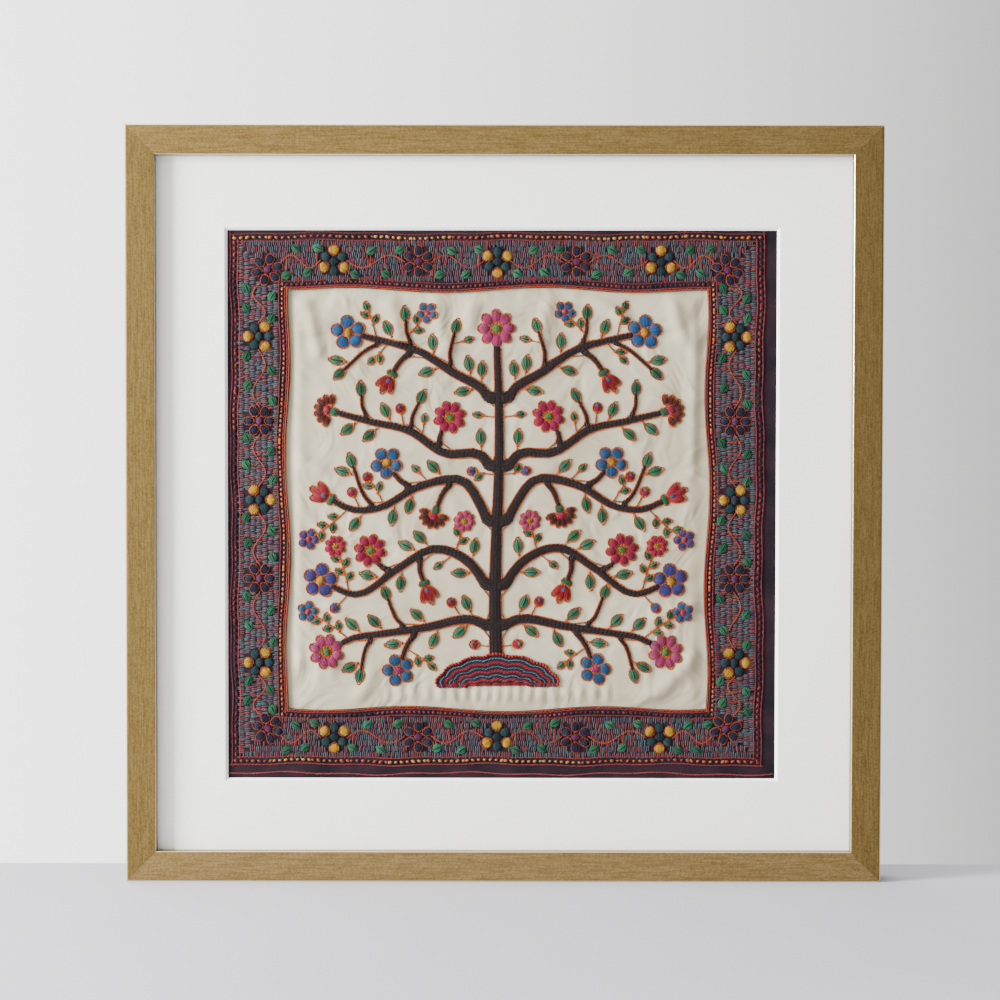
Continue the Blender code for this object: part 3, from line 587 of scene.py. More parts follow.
def evenly(line, spacing):
    """The line with its points an even distance apart, near to the spacing."""
    steps = np.linalg.norm(np.diff(line, axis=0), axis=1)
    length = np.concatenate([[0], np.cumsum(steps)])
    even = np.linspace(0, length[-1], max(2, round(length[-1] / spacing)) + 1)
    return np.column_stack([np.interp(even, length, line[:, axis]) for axis in (0, 1)])


def smooth_line(points):
    """Points a millimetre apart on a Catmull-Rom curve through the given ones."""
    knots = np.array(points, float)
    knots = np.vstack([2 * knots[0] - knots[1], knots, 2 * knots[-1] - knots[-2]])
    fine = []
    for a, b, c, d in zip(knots, knots[1:], knots[2:], knots[3:]):
        for t in np.linspace(0, 1, 30, endpoint=False):
            square = (2 * a - 5 * b + 4 * c - d) * t**2
            cube = (3 * b - a - 3 * c + d) * t**3
            fine.append(0.5 * (2 * b + (c - a) * t + square + cube))
    return evenly(np.array([*fine, knots[-2]]), 1.0)


def distance(points, place):
    return np.linalg.norm(points - np.array(place), axis=1)


class Stem:
    """A worked stem: a line, its width at each point and the stems that grow from it."""

    def __init__(self, line, widths):
        self.line = np.array(line, float)
        self.half = np.linspace(*widths, len(line)) / 2
        self.grown = []

    def heading(self, index):
        step = self.line[min(index + 1, len(self.line) - 1)] - self.line[max(index - 1, 0)]
        return step / np.linalg.norm(step)

    def grow(self, stem, side):
        """Sets a stem in the left (1) or right (-1) edge, at the point nearest to its foot."""
        at = int(np.argmin(distance(self.line[1:-1], stem.line[0]))) + 1
        self.grown.append((at, side, stem))

    def edge(self, index, side):
        return self.line[index] + side * self.half[index] * turned(self.heading(index), pi / 2)

    def side_points(self, side, order):
        """One edge of the stem, leaving out the points that a grown stem's foot covers."""
        here = [(at, stem) for at, s, stem in self.grown if s == side]
        points = []
        for index in order:
            point = self.edge(index, side)
            covered = any(
                np.linalg.norm(stem.line[0] - point) < FOOT_COVER * stem.half[0] + FOOT_CLEAR
                for _, stem in here
            )
            if not covered and all(at != index for at, _ in here):
                points.append(point)
            for at, stem in here:
                if at == index:
                    points += stem.outline()
        return points

    def outline(self):
        """Up the left edge to the tip and back down the right one, round each grown stem."""
        last = len(self.line) - 1
        tip = [self.edge(last, 1), self.edge(last, -1)]
        left = self.side_points(1, range(last))
        right = self.side_points(-1, range(last - 1, -1, -1))
        return left + tip + right

    def mirrored(self):
        """The same stem on the other side of the trunk."""
        other = Stem(self.line * (-1, 1), (2 * self.half[0], 2 * self.half[-1]))
        other.grown = [(at, -side, child.mirrored()) for at, side, child in self.grown]
        return other

    def family(self):
        return [self] + [one for _, _, child in self.grown for one in child.family()]


def grow_stem(route, flower, parent_line, parent_half, widths, spacing):
    """A stem from its parent's edge to the rim of its flower, and the way that faces."""
    fine = smooth_line((*route, flower["place"]))
    rim = flower["radius"] * STEM_ENDS[flower["kind"]] + STEM_GAP
    fine = fine[distance(fine, flower["place"]) > rim]
    near = np.array([distance(parent_line, point).min() for point in fine])
    first = int(np.argmax(near > parent_half + FOOT_SHARE * widths[0]))
    stem = Stem(evenly(fine[first:], spacing), widths)
    x, y = np.array(flower["place"]) - stem.line[-1]
    return stem, atan2(y, x)


def side_of(stem, at, place):
    """1 where the place lies to the left of the stem, and -1 to its right."""
    ahead = stem.heading(at)
    reach = np.array(place) - stem.line[at]
    return 1 if ahead[0] * reach[1] > ahead[1] * reach[0] else -1


def grow_tree():
    """The trunk with its right-hand branches, their leaves, and the way each flower faces.

    A leaf is its foot, its heading and its stalk."""
    line = smooth_line(TRUNK)
    rim = TOP_FLOWER["radius"] * STEM_ENDS[TOP_FLOWER["kind"]] + STEM_GAP
    line = line[distance(line, TOP_FLOWER["place"]) > rim]
    trunk = Stem(evenly(line, TWIG_STEP), TRUNK_WIDE)
    branches, twigs, leaves, facing = [], [], [], {}
    for number, branch in enumerate(BRANCHES):
        own = [flower for flower in FLOWERS if flower["branch"] == number]
        last = next(flower for flower in own if flower["share"] == 1)
        route = ((0, branch["foot"]), *branch["route"])
        stem, way = grow_stem(route, last, line, TRUNK_WIDE[0] / 2, BRANCH_WIDE, STEM_STEP)
        facing[last["place"]] = way
        branches.append(stem)
        parent = smooth_line(stem.line)
        for flower in own:
            if flower is last:
                continue
            at = round(flower["share"] * (len(stem.line) - 1))
            foot = stem.line[at]
            reach = np.array(flower["place"]) - foot
            route = (foot, foot + TWIG_SPRING * reach + TWIG_LEAD * stem.heading(at))
            twig, way = grow_stem(route, flower, parent, stem.half[at], TWIG_WIDE, TWIG_STEP)
            facing[flower["place"]] = way
            stem.grow(twig, side_of(stem, at, flower["place"]))
            twigs.append(twig)
        for row in (row for row in SPRIGS if row["branch"] == number):
            at = round(row["share"] * (len(stem.line) - 1))
            foot = stem.line[at]
            reach = np.array(row["tip"]) - foot
            spring = foot + TWIG_SPRING * reach + TWIG_LEAD * stem.heading(at)
            fine = smooth_line((foot, spring, row["tip"]))
            near = np.array([distance(parent, point).min() for point in fine])
            first = int(np.argmax(near > stem.half[at] + SPRIG_WIDE[0] / 2))
            sprig = Stem(evenly(fine[first:], TWIG_STEP), SPRIG_WIDE)
            stem.grow(sprig, side_of(stem, at, row["tip"]))
            twigs.append(sprig)
            ahead = fine[-1] - fine[-4]
            leaves.append((sprig.line[-1], ahead / np.linalg.norm(ahead), 0.0))
    # Leaves stand in pairs wherever they keep clear of stems, flowers and each other.
    circles = [(np.array(row["place"]), row["radius"]) for row in (*FLOWERS, TOP_FLOWER)]
    circles.append((np.array(MOUND["middle"]), MOUND["across"] * 0.8))
    tips = [foot + np.outer(np.linspace(0, 1, 13), way) * LEAF_LONG for foot, way, _ in leaves]
    stems = np.vstack([line, *(smooth_line(stem.line) for stem in branches + twigs), *tips])
    taken = []
    for stem in branches + twigs:
        feet = [child.line[0] for _, _, child in stem.grown]
        for at in range(1, len(stem.line) - 1):
            for side in (1, -1):
                way = turned(stem.heading(at), side * LEAF_TURN)
                foot = stem.line[at] + way * (stem.half[at] / sin(LEAF_TURN))
                if any(np.linalg.norm(foot - other) < LEAF_WIDE for other in feet):
                    continue
                line = np.array([foot + way * (LEAF_STALK + LEAF_LONG * s) for s in LEAF_SHARES])
                start = foot + way * LEAF_STALK * 0.4
                far = stems[distance(stems, start) > LEAF_STALK + LEAF_WIDE / 2]
                near = np.vstack(taken) if taken else np.full((1, 2), np.inf)
                clear = all(
                    distance(far, point).min() >= (LEAF_WIDE + BRANCH_WIDE[0]) / 2
                    and distance(near, point).min() >= LEAF_WIDE + LEAF_CLEAR
                    and all(
                        hypot(*(point - middle)) >= radius + (LEAF_WIDE + LEAF_CLEAR) / 2
                        for middle, radius in circles
                    )
                    and max(abs(point)) <= FIELD - LEAF_MARGIN
                    and point[0] >= LEAF_WIDE
                    for point in line
                )
                if clear:
                    leaves.append((foot, way, LEAF_STALK))
                    feet.append(start)
                    taken.append(smooth_line(line))
    for stem in branches:
        trunk.grow(stem, -1)
        trunk.grow(stem.mirrored(), 1)
    return trunk, leaves, facing


def stem_rows(stem, parent=None):
    """Rows of stitches side by side along a stem, and along the stems that grow from it.

    A grown stem's rows start from a foot that its parent's rows cover."""
    line, foot = stem.line, 0
    if parent:
        root = smooth_line(parent.line)
        back = root[np.argmin(distance(root, line[0]))] - line[0]
        foot = FOOT_HIDDEN * np.linalg.norm(back)
        back = back / np.linalg.norm(back) - FOOT_SLANT * stem.heading(0)
        line = np.vstack([line[0] + foot * back / np.linalg.norm(back), line])
    fine = smooth_line(line)
    half = np.interp(np.linspace(0, 1, len(fine)), np.linspace(0, 1, len(stem.half)), stem.half)
    half = np.maximum(half - ROW_INSET, ROW_LEAST)
    flare = (FOOT_FLARE * stem.half[0] + FOOT_CLEAR) * (foot > 0)
    count = 1 + max(1, round((2 * half.max() + flare) / ROW_PITCH))
    half = half + flare * np.exp(-np.maximum(np.arange(len(fine)) - foot, 0) / FOOT_FLARE_LONG)
    ahead = np.gradient(fine, axis=0)
    ahead /= np.linalg.norm(ahead, axis=1)[:, None]
    aside = np.column_stack([-ahead[:, 1], ahead[:, 0]])
    offs = np.linspace(-1, 1, count)
    rows = []
    for number, off in enumerate(offs):
        row = (fine + aside * (off * half)[:, None])[number % 2 :]
        high = 0.5 + 0.4 * (1 - off * off)
        rows.append((on_cream(row[:, 0], row[:, 1], high), BARKS[number % len(BARKS)]))
    for _, _, child in stem.grown:
        rows += stem_rows(child, stem)
    return rows


trunk, right_leaves, facing = grow_tree()
branches = worked(
    "tree_in_stem_stitch",
    stem_rows(trunk),
    stem_stitch,
    line_sizes(2.9, 1.55, 1.35, seed=3, lean=0.2),
    "bark_wool",
    ["tree"],
)

outline = np.array(trunk.outline())
outline = np.vstack([outline, outline[:1]])
branch_lines = worked(
    "tree_outline",
    [(on_cream(*evenly(outline, 1.5).T, 0.4), ORANGE)],
    stem_stitch,
    line_sizes(2.3, 1.45, 1.3, seed=5),
    "bark_wool",
)
leaf_paths, leaf_lines = [], []
for foot, way, stalk in right_leaves:
    for side in (1, -1):
        strands, edges = worked_leaf(
            on_cream,
            foot * (side, 1),
            way * (side, 1),
            stalk,
            LEAF_LONG / 2 - 0.3,
            LEAF_WIDE / 2 - 0.5,
            ORANGE,
        )
        leaf_paths += strands
        leaf_lines += edges
laid_sizes = {"Strand": STRAND * MM, "Sides": 5}
outline_sizes = line_sizes(2.3, 1.45, 1.2, seed=12)
tree_leaves = worked("tree_leaves", leaf_paths, laid, laid_sizes, "bark_wool")
leaf_outline = worked("leaf_outlines", leaf_lines, stem_stitch, outline_sizes, "bark_wool")


# Flowers of the tree. Each petal is padded and covered with strands of wool laid from
# the middle outwards, with an orange line round it and a heart over the strands' ends.
DYES = {
    "aster": {"petals": ("#b01450", "#bc3f78", "#a51646"), "hearts": ("#5a9048", "#8a9a3c")},
    "round": {"petals": ("#2b659c", "#47438c", "#2a5d8c"), "hearts": ("#dba02c", "#c23a78")},
    "tulip": {"petals": ("#a8141c", "#b8283c", "#9c1420"), "hearts": ("#2f5590", "#35699c")},
    "carnation": {"petals": ("#561e1a", "#6b2422", "#491d19"), "hearts": ("#b01c34", "#c01a50")},
}
CALYX = "#2f6f4c"
PETAL_RINGS = {
    "aster": {"count": 8, "out": 0.63, "long": 0.34, "wide": 0.235, "heart": 0.22},
    "round": {"count": 5, "out": 0.6, "long": 0.36, "wide": 0.33, "heart": 0.24},
    "rosette": {"count": 6, "out": 0.62, "long": 0.29, "wide": 0.21, "heart": 0.22},
    "trefoil": {"count": 3, "out": 0.68, "long": 0.29, "wide": 0.27, "heart": 0.24},
}


def flower_ovals(kind):
    """A flower's parts as ovals: how far out, turned round and tilted, how big, and which.

    Sizes are shares of the flower's radius, and it faces along +X."""
    if kind == "tulip":
        rows = [(0.3, side * 55, side * -26, 0.52, 0.21, "petals") for side in (1, -1)]
        rows += [(0.26, 0, 0, 0.66, 0.22, "petals"), (0.02, 0, 0, 0.2, 0.15, "heart")]
        return rows + [(0.46, 180, 0, 0.2, 0.3, "calyx")]
    if kind == "carnation":
        rows = [(0.62, 28 * n, 0, 0.3, 0.16, "petals") for n in range(-3, 4)]
        rows += [(0.2, 0, 0, 0.24, 0.24, "heart")]
        return rows + [(0.2, 180, 0, 0.3, 0.2, "calyx")]
    ring = PETAL_RINGS[kind]
    turns = [360 / ring["count"] * n for n in range(ring["count"])]
    rows = [(ring["out"], turn, 0, ring["long"], ring["wide"], "petals") for turn in turns]
    if kind == "trefoil":
        rows += [(0.55, turn + 60, 0, 0.3, 0.22, "between") for turn in turns]
    return rows + [(0, 0, 0, ring["heart"], ring["heart"], "heart")]


def flower(cloth, kind, place, radius, heading, dyes, rise):
    """The strands of a flower and the lines round its petals."""
    strands, edges = [], []
    for out, round_to, tilt, long, wide, part in flower_ovals(kind):
        angle = heading + radians(round_to)
        middle = np.array(place) + radius * out * turned((1, 0), angle)
        turn = angle + radians(tilt)
        long, wide = radius * long, radius * wide
        high = rise + (0.35 if part == "heart" else 0.0)
        strands += padded_oval(cloth, middle, turn, long, wide, high, dyes[part])
        if part in ("petals", "calyx"):
            edges.append(oval_edge(cloth, middle, turn, long, wide, ORANGE))
    return strands, edges


rows = [(row, 1, facing[row["place"]]) for row in FLOWERS]
rows += [(row, -1, pi - way) for row, _, way in rows]
rows.append((TOP_FLOWER, 1, pi / 2))
bunches = {kind: ([], []) for kind in DYES}
petal_lines = []
for count, (row, side, way) in enumerate(rows, 1):
    kind = row["kind"]
    shades = DYES[kind]
    dyes = {
        "petals": shades["petals"][count % 3],
        "heart": shades["hearts"][count // 2 % 2],
        "calyx": CALYX,
    }
    place = (side * row["place"][0], row["place"][1])
    strands, edges = flower(on_cream, kind, place, row["radius"], way, dyes, 1.3)
    bunches[kind][0].extend(strands)
    bunches[kind][1].append(f"flower_{count:02d}_{kind}")
    petal_lines += edges
flowers = [
    worked(f"{kind}_flowers", strands, laid, laid_sizes, f"{kind}_wool", nodes)
    for kind, (strands, nodes) in bunches.items()
]
petal_outline = worked("petal_outlines", petal_lines, stem_stitch, outline_sizes, "aster_wool")


# Mound. Scalloped rows of stem stitch in reds, browns and blue, one inside the other.
# Two straight rows close its foot, and red knots go round its top.
MOUND_ROWS = ("#a1242c", "#3a191f", "#41201f", "#46849c", "#3a191f", "#4a2229", "#b02c50")


def mound_row(inset):
    """A scalloped row of the mound, this far inside its outline."""
    angles = np.linspace(0.02, pi - 0.02, 90)
    bump = MOUND["scallop"] * abs(np.sin(angles * MOUND["scallops"]))
    wide = max(MOUND["across"] - inset, 1)
    high = max(MOUND["up"] - MOUND["scallop"] - inset * 0.92, 0.6)
    x = MOUND["middle"][0] + (wide + bump) * np.cos(angles)
    y = MOUND["middle"][1] + 0.4 + (high + bump) * np.sin(angles)
    return x, y


mound_base = np.linspace(2 - MOUND["across"], MOUND["across"] - 2, 60)
mound = worked(
    "mound_in_stem_stitch",
    [
        (on_cream(*mound_row(0.7 + 0.95 * number), 0.55), MOUND_ROWS[number % len(MOUND_ROWS)])
        for number in range(24)
    ]
    + [
        (on_cream(mound_base, np.full(60, MOUND["middle"][1] + high), 0.6), MOUND_ROWS[0])
        for high in (0.4, 1.4)
    ],
    stem_stitch,
    line_sizes(2.4, 1.6, 1.15, seed=9, lean=0.2),
    "mound_wool",
    ["mound"],
)
mound_knots = worked(
    "mound_knots",
    [(on_cream(*mound_row(0.1), 0.9), "#d8342c")],
    stem_stitch,
    line_sizes(2.4, 0.9, 2.2, seed=2, lean=0, wobble=0.4, uneven=0.2),
    "mound_wool",
)


# Sprays. Thin orange stalks with small leaves fill the room between the branches. They
# end in a small flower, a bud or a leaf, and the ground cloth is then ready to be sewn in.
SPRAY_ENDS = [("flower", long) for long in (26, 20, 15, 11, 8)]
SPRAY_ENDS += [("bud", long) for long in (30, 24, 18, 13, 9)]
SPRAY_TURNS = (64, 84, 44)
SPRAY_ROOM = 5.2
SPRAY_GAP = 1.3
SPRAY_BEND = 0.004
SPRAY_PITCH = 5.2
SPRAY_LEAF = (3.5, 2.2)
SPRAY_FLOWER = 7.8
SPRAY_EDGE = FIELD - 7.5
BUD = 3.3
BUDS = (("#a8141c", "#2f5590"), ("#2f5590", "#a8141c"), ("#b01450", "#5a9048"))


def blocked_places(stems):
    """What stands on the right half already: rows of across, up and radius."""
    blocks = [(*point, stem.half[0]) for stem in stems for point in smooth_line(stem.line)]
    for foot, way, stalk in right_leaves:
        for share in np.linspace(0.1, 1, 8):
            blocks.append((*(foot + way * share * (stalk + LEAF_LONG)), LEAF_WIDE / 2))
    blocks += [(*row["place"], row["radius"]) for row in (*FLOWERS, TOP_FLOWER)]
    blocks += [(x, y, 0) for x, y in zip(*mound_row(0))]
    return np.array(blocks)


def grow_sprays():
    """Stalks from the right-hand stems, with their ends, wherever there is room."""
    right = [branch for _, side, branch in trunk.grown if side < 0]
    stems = [trunk] + [one for branch in right for one in branch.family()]
    blocks = blocked_places(stems)
    sprays = []
    for end, long in SPRAY_ENDS:
        head = SPRAY_FLOWER if end == "flower" else SPRAY_LEAF[0]
        t = np.arange(2.0, long + 2 * head, 2.0)
        room = np.minimum(SPRAY_ROOM, 0.5 * t)
        room[t > long] = head + SPRAY_GAP if end == "flower" else SPRAY_ROOM
        room[t > long] -= abs(t[t > long] - long - head) * (end == "flower")
        for stem in stems:
            fine = smooth_line(stem.line)
            for at in range(5, len(fine) - 4, 3):
                ahead = fine[at + 1] - fine[at - 1]
                ahead = ahead / np.linalg.norm(ahead)
                for turn in [s * radians(turn) for turn in SPRAY_TURNS for s in (1, -1)]:
                    way = turned(ahead, turn)
                    aside = turned(way, -pi / 2 if turn > 0 else pi / 2)
                    start = fine[at] + way * stem.half[0] * 0.9
                    line = start + np.outer(t, way) + np.outer(SPRAY_BEND * t * t, aside)
                    if abs(line).max() > SPRAY_EDGE or (line[:, 0] < room)[t > 5].any():
                        continue
                    gaps = np.hypot(line[:, :1] - blocks[:, 0], line[:, 1:] - blocks[:, 1])
                    if ((gaps - blocks[:, 2]).min(axis=1) < room).any():
                        continue
                    sprays.append((end, np.vstack([start, line[t <= long]])))
                    wide = np.minimum(room, 0.8 * t) - 0.4
                    blocks = np.vstack([blocks, np.column_stack([line, wide])])
    return sprays


spray_leaves, spray_heads, spray_lines = [], [], []
for number, (end, right_stalk) in enumerate(grow_sprays()):
    for side in (1, -1):
        stalk = evenly(right_stalk * (side, 1), 1.0)
        spray_lines.append((on_cream(*stalk.T, 0.35), ORANGE))
        ahead = stalk[-1] - stalk[-2]
        ahead = ahead / np.linalg.norm(ahead)
        turn = atan2(ahead[1], ahead[0])
        for step, here in enumerate(range(len(stalk) - 6, 3, -round(SPRAY_PITCH))):
            along = stalk[here + 1] - stalk[here]
            way = turned(along / np.linalg.norm(along), radians(46) * (-1) ** step)
            strands, edges = worked_leaf(on_cream, stalk[here], way, 0.8, *SPRAY_LEAF, ORANGE)
            spray_leaves += strands
            spray_lines += edges
        if end == "flower":
            kind = ("round", "aster")[number % 2]
            shades = DYES[kind]
            dyes = {"petals": shades["petals"][number // 2 % 3], "heart": shades["hearts"][1]}
            middle = stalk[-1] + ahead * (SPRAY_FLOWER - 1)
            strands, edges = flower(on_cream, kind, middle, SPRAY_FLOWER, turn, dyes, 1.1)
            spray_heads += strands
            spray_lines += edges
        elif number % 2:
            strands, edges = worked_leaf(on_cream, stalk[-1], ahead, 0, *SPRAY_LEAF, ORANGE)
            spray_leaves += strands
            spray_lines += edges
        else:
            outer, inner = BUDS[number // 2 % len(BUDS)]
            middle = stalk[-1] + ahead * (BUD + 0.3)
            spray_heads += padded_oval(on_cream, middle, turn, BUD, BUD - 0.3, 1.0, outer)
            tip = middle + ahead * BUD * 0.45
            spray_heads += padded_oval(on_cream, tip, turn, BUD * 0.45, BUD * 0.4, 1.4, inner)
            spray_lines.append(oval_edge(on_cream, middle, turn, BUD, BUD - 0.3, ORANGE))
sprays = [
    worked("spray_leaves", spray_leaves, laid, laid_sizes, "bark_wool"),
    worked("spray_flowers", spray_heads, laid, laid_sizes, "aster_wool"),
    worked("spray_outlines", spray_lines, stem_stitch, outline_sizes, "bark_wool"),
]
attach(ground, "root")
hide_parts("ground_cloth")


# Border cloth. A dark maroon cotton cut as a square ring and sewn over the edge of the
# cream cloth. Its sewn edge wanders. Two padded guards run round it, and the band
# between them is filled with short stitches.
BORDER_DEEP = 10.6 * MM
BORDER_REACH = 210 * MM
OUTER_GUARD = 191.2 * MM
INNER_GUARD = 156.6 * MM
FIELD_REACH = FIELD * MM
GUARD_HALF = 3 * MM
GUARD_RISE = 0.4 * MM
BAND_RISE = 0.25 * MM
EDGE_WAVE = 1.9 * MM
EDGE_WAVE_LONG = 23 * MM
EDGE_WAVE_STARTS = (1.3, 0.2)


def wavy(across, up):
    """The sewn edge of the field wanders. The wave dies out towards the outer guard."""
    reach = np.maximum(abs(across), abs(up))
    share = np.clip((OUTER_GUARD - reach) / (OUTER_GUARD - FIELD_REACH), 0, 1)
    along = np.where(abs(across) > abs(up), up, across)
    start = np.where(across > up, *EDGE_WAVE_STARTS)
    wave = EDGE_WAVE * share * np.sin(along / EDGE_WAVE_LONG + start)
    reach = np.maximum(reach, MM)
    scale = 1 + wave * (1 - (np.minimum(abs(across), abs(up)) / reach) ** 6) / reach
    return across * scale, up * scale


def border_deep(across, up):
    """Depth of the border's face, with its two guards and its stitched band raised."""
    reach = np.maximum(abs(across), abs(up))
    rise = BAND_RISE * np.clip((reach - FIELD_REACH) / (4 * MM), 0, 1)
    rise = rise * np.clip((OUTER_GUARD + GUARD_HALF - reach) / (3 * MM), 0, 1)
    for guard in (INNER_GUARD, OUTER_GUARD):
        rise = np.maximum(rise, GUARD_RISE * np.exp(-(((reach - guard) / (2 * MM)) ** 2)))
    return BORDER_DEEP - rise


# Cotton, plain woven and dyed maroon over brown: matt, patchy and nearly black where no
# wool covers it, as in its outer margin.
PATCH_SIZE = 22.2 * MM
COTTON_THREAD = 0.67 * MM
dyed_cotton, tree, shader = new_finish("maroon_dyed_cotton", 0.95, Specular_IOR_Level=0.12)
place = add(tree, "ShaderNodeTexCoord")["Object"]
patches = add(tree, "ShaderNodeTexNoise", {"Vector": place, "Scale": 1 / PATCH_SIZE, "Detail": 4})
colour = add(
    tree,
    "ShaderNodeValToRGB",
    {"Fac": patches["Fac"]},
    stops=[(0.35, "#110f15"), (0.65, "#25171e")],
)
threads = add(
    tree, "ShaderNodeTexNoise", {"Vector": place, "Scale": 1 / COTTON_THREAD, "Detail": 2}
)
bump = add(
    tree, "ShaderNodeBump", {"Height": threads["Fac"], "Strength": 0.6, "Distance": 0.15 * MM}
)
tree.links.new(colour["Color"], shader["Base Color"])
tree.links.new(bump["Normal"], shader["Normal"])

inner_lines = np.linspace(FIELD_REACH, BORDER_REACH, 32)
border_lines = np.concatenate(
    [-inner_lines[::-1], np.linspace(-FIELD_REACH, FIELD_REACH, 134)[1:-1], inner_lines]
)
border = cloth_sheet(
    "border_cloth_ground", border_lines, border_deep, wavy, FIELD_REACH, dyed_cotton
)


# Border motifs. Rosettes stand at the corners and between trefoils along each side, on
# a thin orange stem with green leaves, as this kind of border repeats.
STATIONS = (-119, -57.5, 0, 57.5, 119)
BAND_MIDDLE = 173.5
CORNER = 167.5
BORDER_RADIUS = 12.5
ROSETTE = {"petals": "#1c2240", "heart": "#6d2a5c"}
TREFOIL = {"petals": "#e3ad2a", "between": "#1f4448", "heart": "#18353a"}
VINE = "#c0482a"
PETAL_LINE = "#a8482c"
SIDES = {"top": pi / 2, "left": pi, "bottom": -pi / 2, "right": 0}
VINE_LEAVES = [
    {"at": 0.08, "off": 9.0, "turn": 25},
    {"at": 0.34, "off": -8.5, "turn": -35},
    {"at": 0.60, "off": 8.5, "turn": 215},
    {"at": 0.88, "off": -9.5, "turn": 155},
]


def on_border(x, y, raised):
    """World places of design points on the border."""
    across, up = np.asarray(x, float) * MM, np.asarray(y, float) * MM
    deep = border_deep(across, up) - np.asarray(raised) * MM
    return on_panel(across + WORK_MIDDLE[0], up + WORK_MIDDLE[1], deep)


def along_side(outward, along, off):
    """Design point at a place along a side of the border, off its middle line."""
    reach = BAND_MIDDLE + np.asarray(off, float)
    x = reach * cos(outward) - np.asarray(along, float) * sin(outward)
    y = reach * sin(outward) + np.asarray(along, float) * cos(outward)
    return np.stack([x, y], axis=-1)


motifs = []
for side, outward in SIDES.items():
    for number, along in enumerate(STATIONS, 1):
        kind = "trefoil" if number % 2 else "rosette"
        heading = outward + (pi if number == 3 else 0)
        place = along_side(outward, along, 0)
        motifs.append((kind, f"border_{side}_{kind}_{number}", place, heading))
for number, turn in enumerate((45, 135, 225, 315), 1):
    place = CORNER * 2**0.5 * turned((1, 0), radians(turn))
    motifs.append(("rosette", f"border_corner_rosette_{number}", place, radians(turn)))
border_flowers = {"rosette": ([], []), "trefoil": ([], [])}
vines = []
for kind, node, place, heading in motifs:
    dyes = TREFOIL if kind == "trefoil" else ROSETTE
    strands, edges = flower(on_border, kind, place, BORDER_RADIUS, heading, dyes, 1.0)
    border_flowers[kind][0].extend(strands)
    border_flowers[kind][1].append(node)
    vines += [(line, PETAL_LINE) for line, _ in edges]

leaf_places, border_leaves = [], []
for outward in SIDES.values():
    stops = (-CORNER, *STATIONS, CORNER)
    for number, (start, end) in enumerate(zip(stops, stops[1:])):
        start, end = start + BORDER_RADIUS - 2, end - BORDER_RADIUS + 2
        sway = 4.5 * (-1) ** number
        share = np.linspace(0, 1, 24)
        stem = along_side(
            outward, start + (end - start) * share, sway * np.sin(share * 2 * pi)
        )
        vines.append((on_border(*stem.T, 0.5), VINE))
        for row in VINE_LEAVES:
            middle = along_side(outward, start + (end - start) * row["at"], row["off"])
            middle = middle + needle.uniform(-1, 1, 2)
            root = stem[round(row["at"] * 23)]
            turn = outward + pi / 2 + radians(row["turn"] if sway > 0 else -row["turn"])
            way = turned((1, 0), turn)
            border_leaves += worked_leaf(on_border, middle - way * 5, way, 0, 5.0, 3.0, VINE)[0]
            share = np.linspace(0, 1, 5)[:, None]
            vines.append((on_border(*(root + (middle - root) * share * 0.6).T, 0.5), VINE))
            leaf_places.append(middle)

rosettes, trefoils = (
    worked(f"border_{kind}s", strands, laid, laid_sizes, slot, nodes)
    for (kind, (strands, nodes)), slot in zip(
        border_flowers.items(), ("navy_wool", "yellow_wool")
    )
)
border_leaf_piece = worked(
    "border_leaves", border_leaves, laid, laid_sizes, "maroon_worked_cloth"
)
vine_piece = worked(
    "border_vines",
    vines,
    stem_stitch,
    line_sizes(2.1, 1.45, 0.85, seed=6),
    "maroon_worked_cloth",
)


# Filling of the band. Short stitches laid square to the edge in staggered rows, in
# blues, purples and maroons that change every few centimetres, as the wool ran out.
FILL_PITCH = 1.5
FILL_ROWS = 7
FILL_STRAND = 1.25
FILL_HIGH = 0.2 * np.array([-1, 1, 1, -1])
GUARD_ROOM = 2.4
MOTIF_ROOM = BORDER_RADIUS - 1.2
LEAF_ROOM = 3.6
FILL_DYES = ("#56686c", "#5f4f62", "#8c4048", "#4e6668", "#6c485a", "#8e4842", "#5a686c", "#7a4854")
fill = []
motif_places = np.array([place for _, _, place, _ in motifs])
low, high = INNER_GUARD / MM + GUARD_ROOM, OUTER_GUARD / MM - GUARD_ROOM
deep_step = (high - low) / FILL_ROWS
for outward in SIDES.values():
    for row in range(FILL_ROWS):
        reach = low + (row + 0.5) * deep_step
        along = np.arange(-reach + 1.5, reach - 1.0, FILL_PITCH)
        along = along + (row % 2) * FILL_PITCH / 2 + needle.uniform(-0.3, 0.3, len(along))
        drift = 2.3 * np.sin(along / 17 + row * 0.9 + outward) + 1.7 * np.sin(along / 6.1 + 2 * row)
        choice = np.floor(drift + needle.uniform(0, 3.5, len(along))).astype(int) % len(FILL_DYES)
        off = reach - BAND_MIDDLE + needle.uniform(-0.7, 0.7, len(along))
        middles = along_side(outward, along, off)
        free = [
            distance(motif_places, middle).min() > MOTIF_ROOM
            and distance(leaf_places, middle).min() > LEAF_ROOM
            for middle in middles
        ]
        half = deep_step * needle.uniform(0.5, 0.68, len(along))
        for at in np.flatnonzero(free):
            ends = off[at] + half[at] * np.array([-1, -0.5, 0.5, 1])
            stitch = along_side(outward, along[at], ends)
            fill.append((on_border(*stitch.T, FILL_HIGH), FILL_DYES[choice[at]]))
fill_sizes = {"Strand": FILL_STRAND * MM, "Sides": 4}
fill_piece = worked("border_filling", fill, laid, fill_sizes, "maroon_worked_cloth")


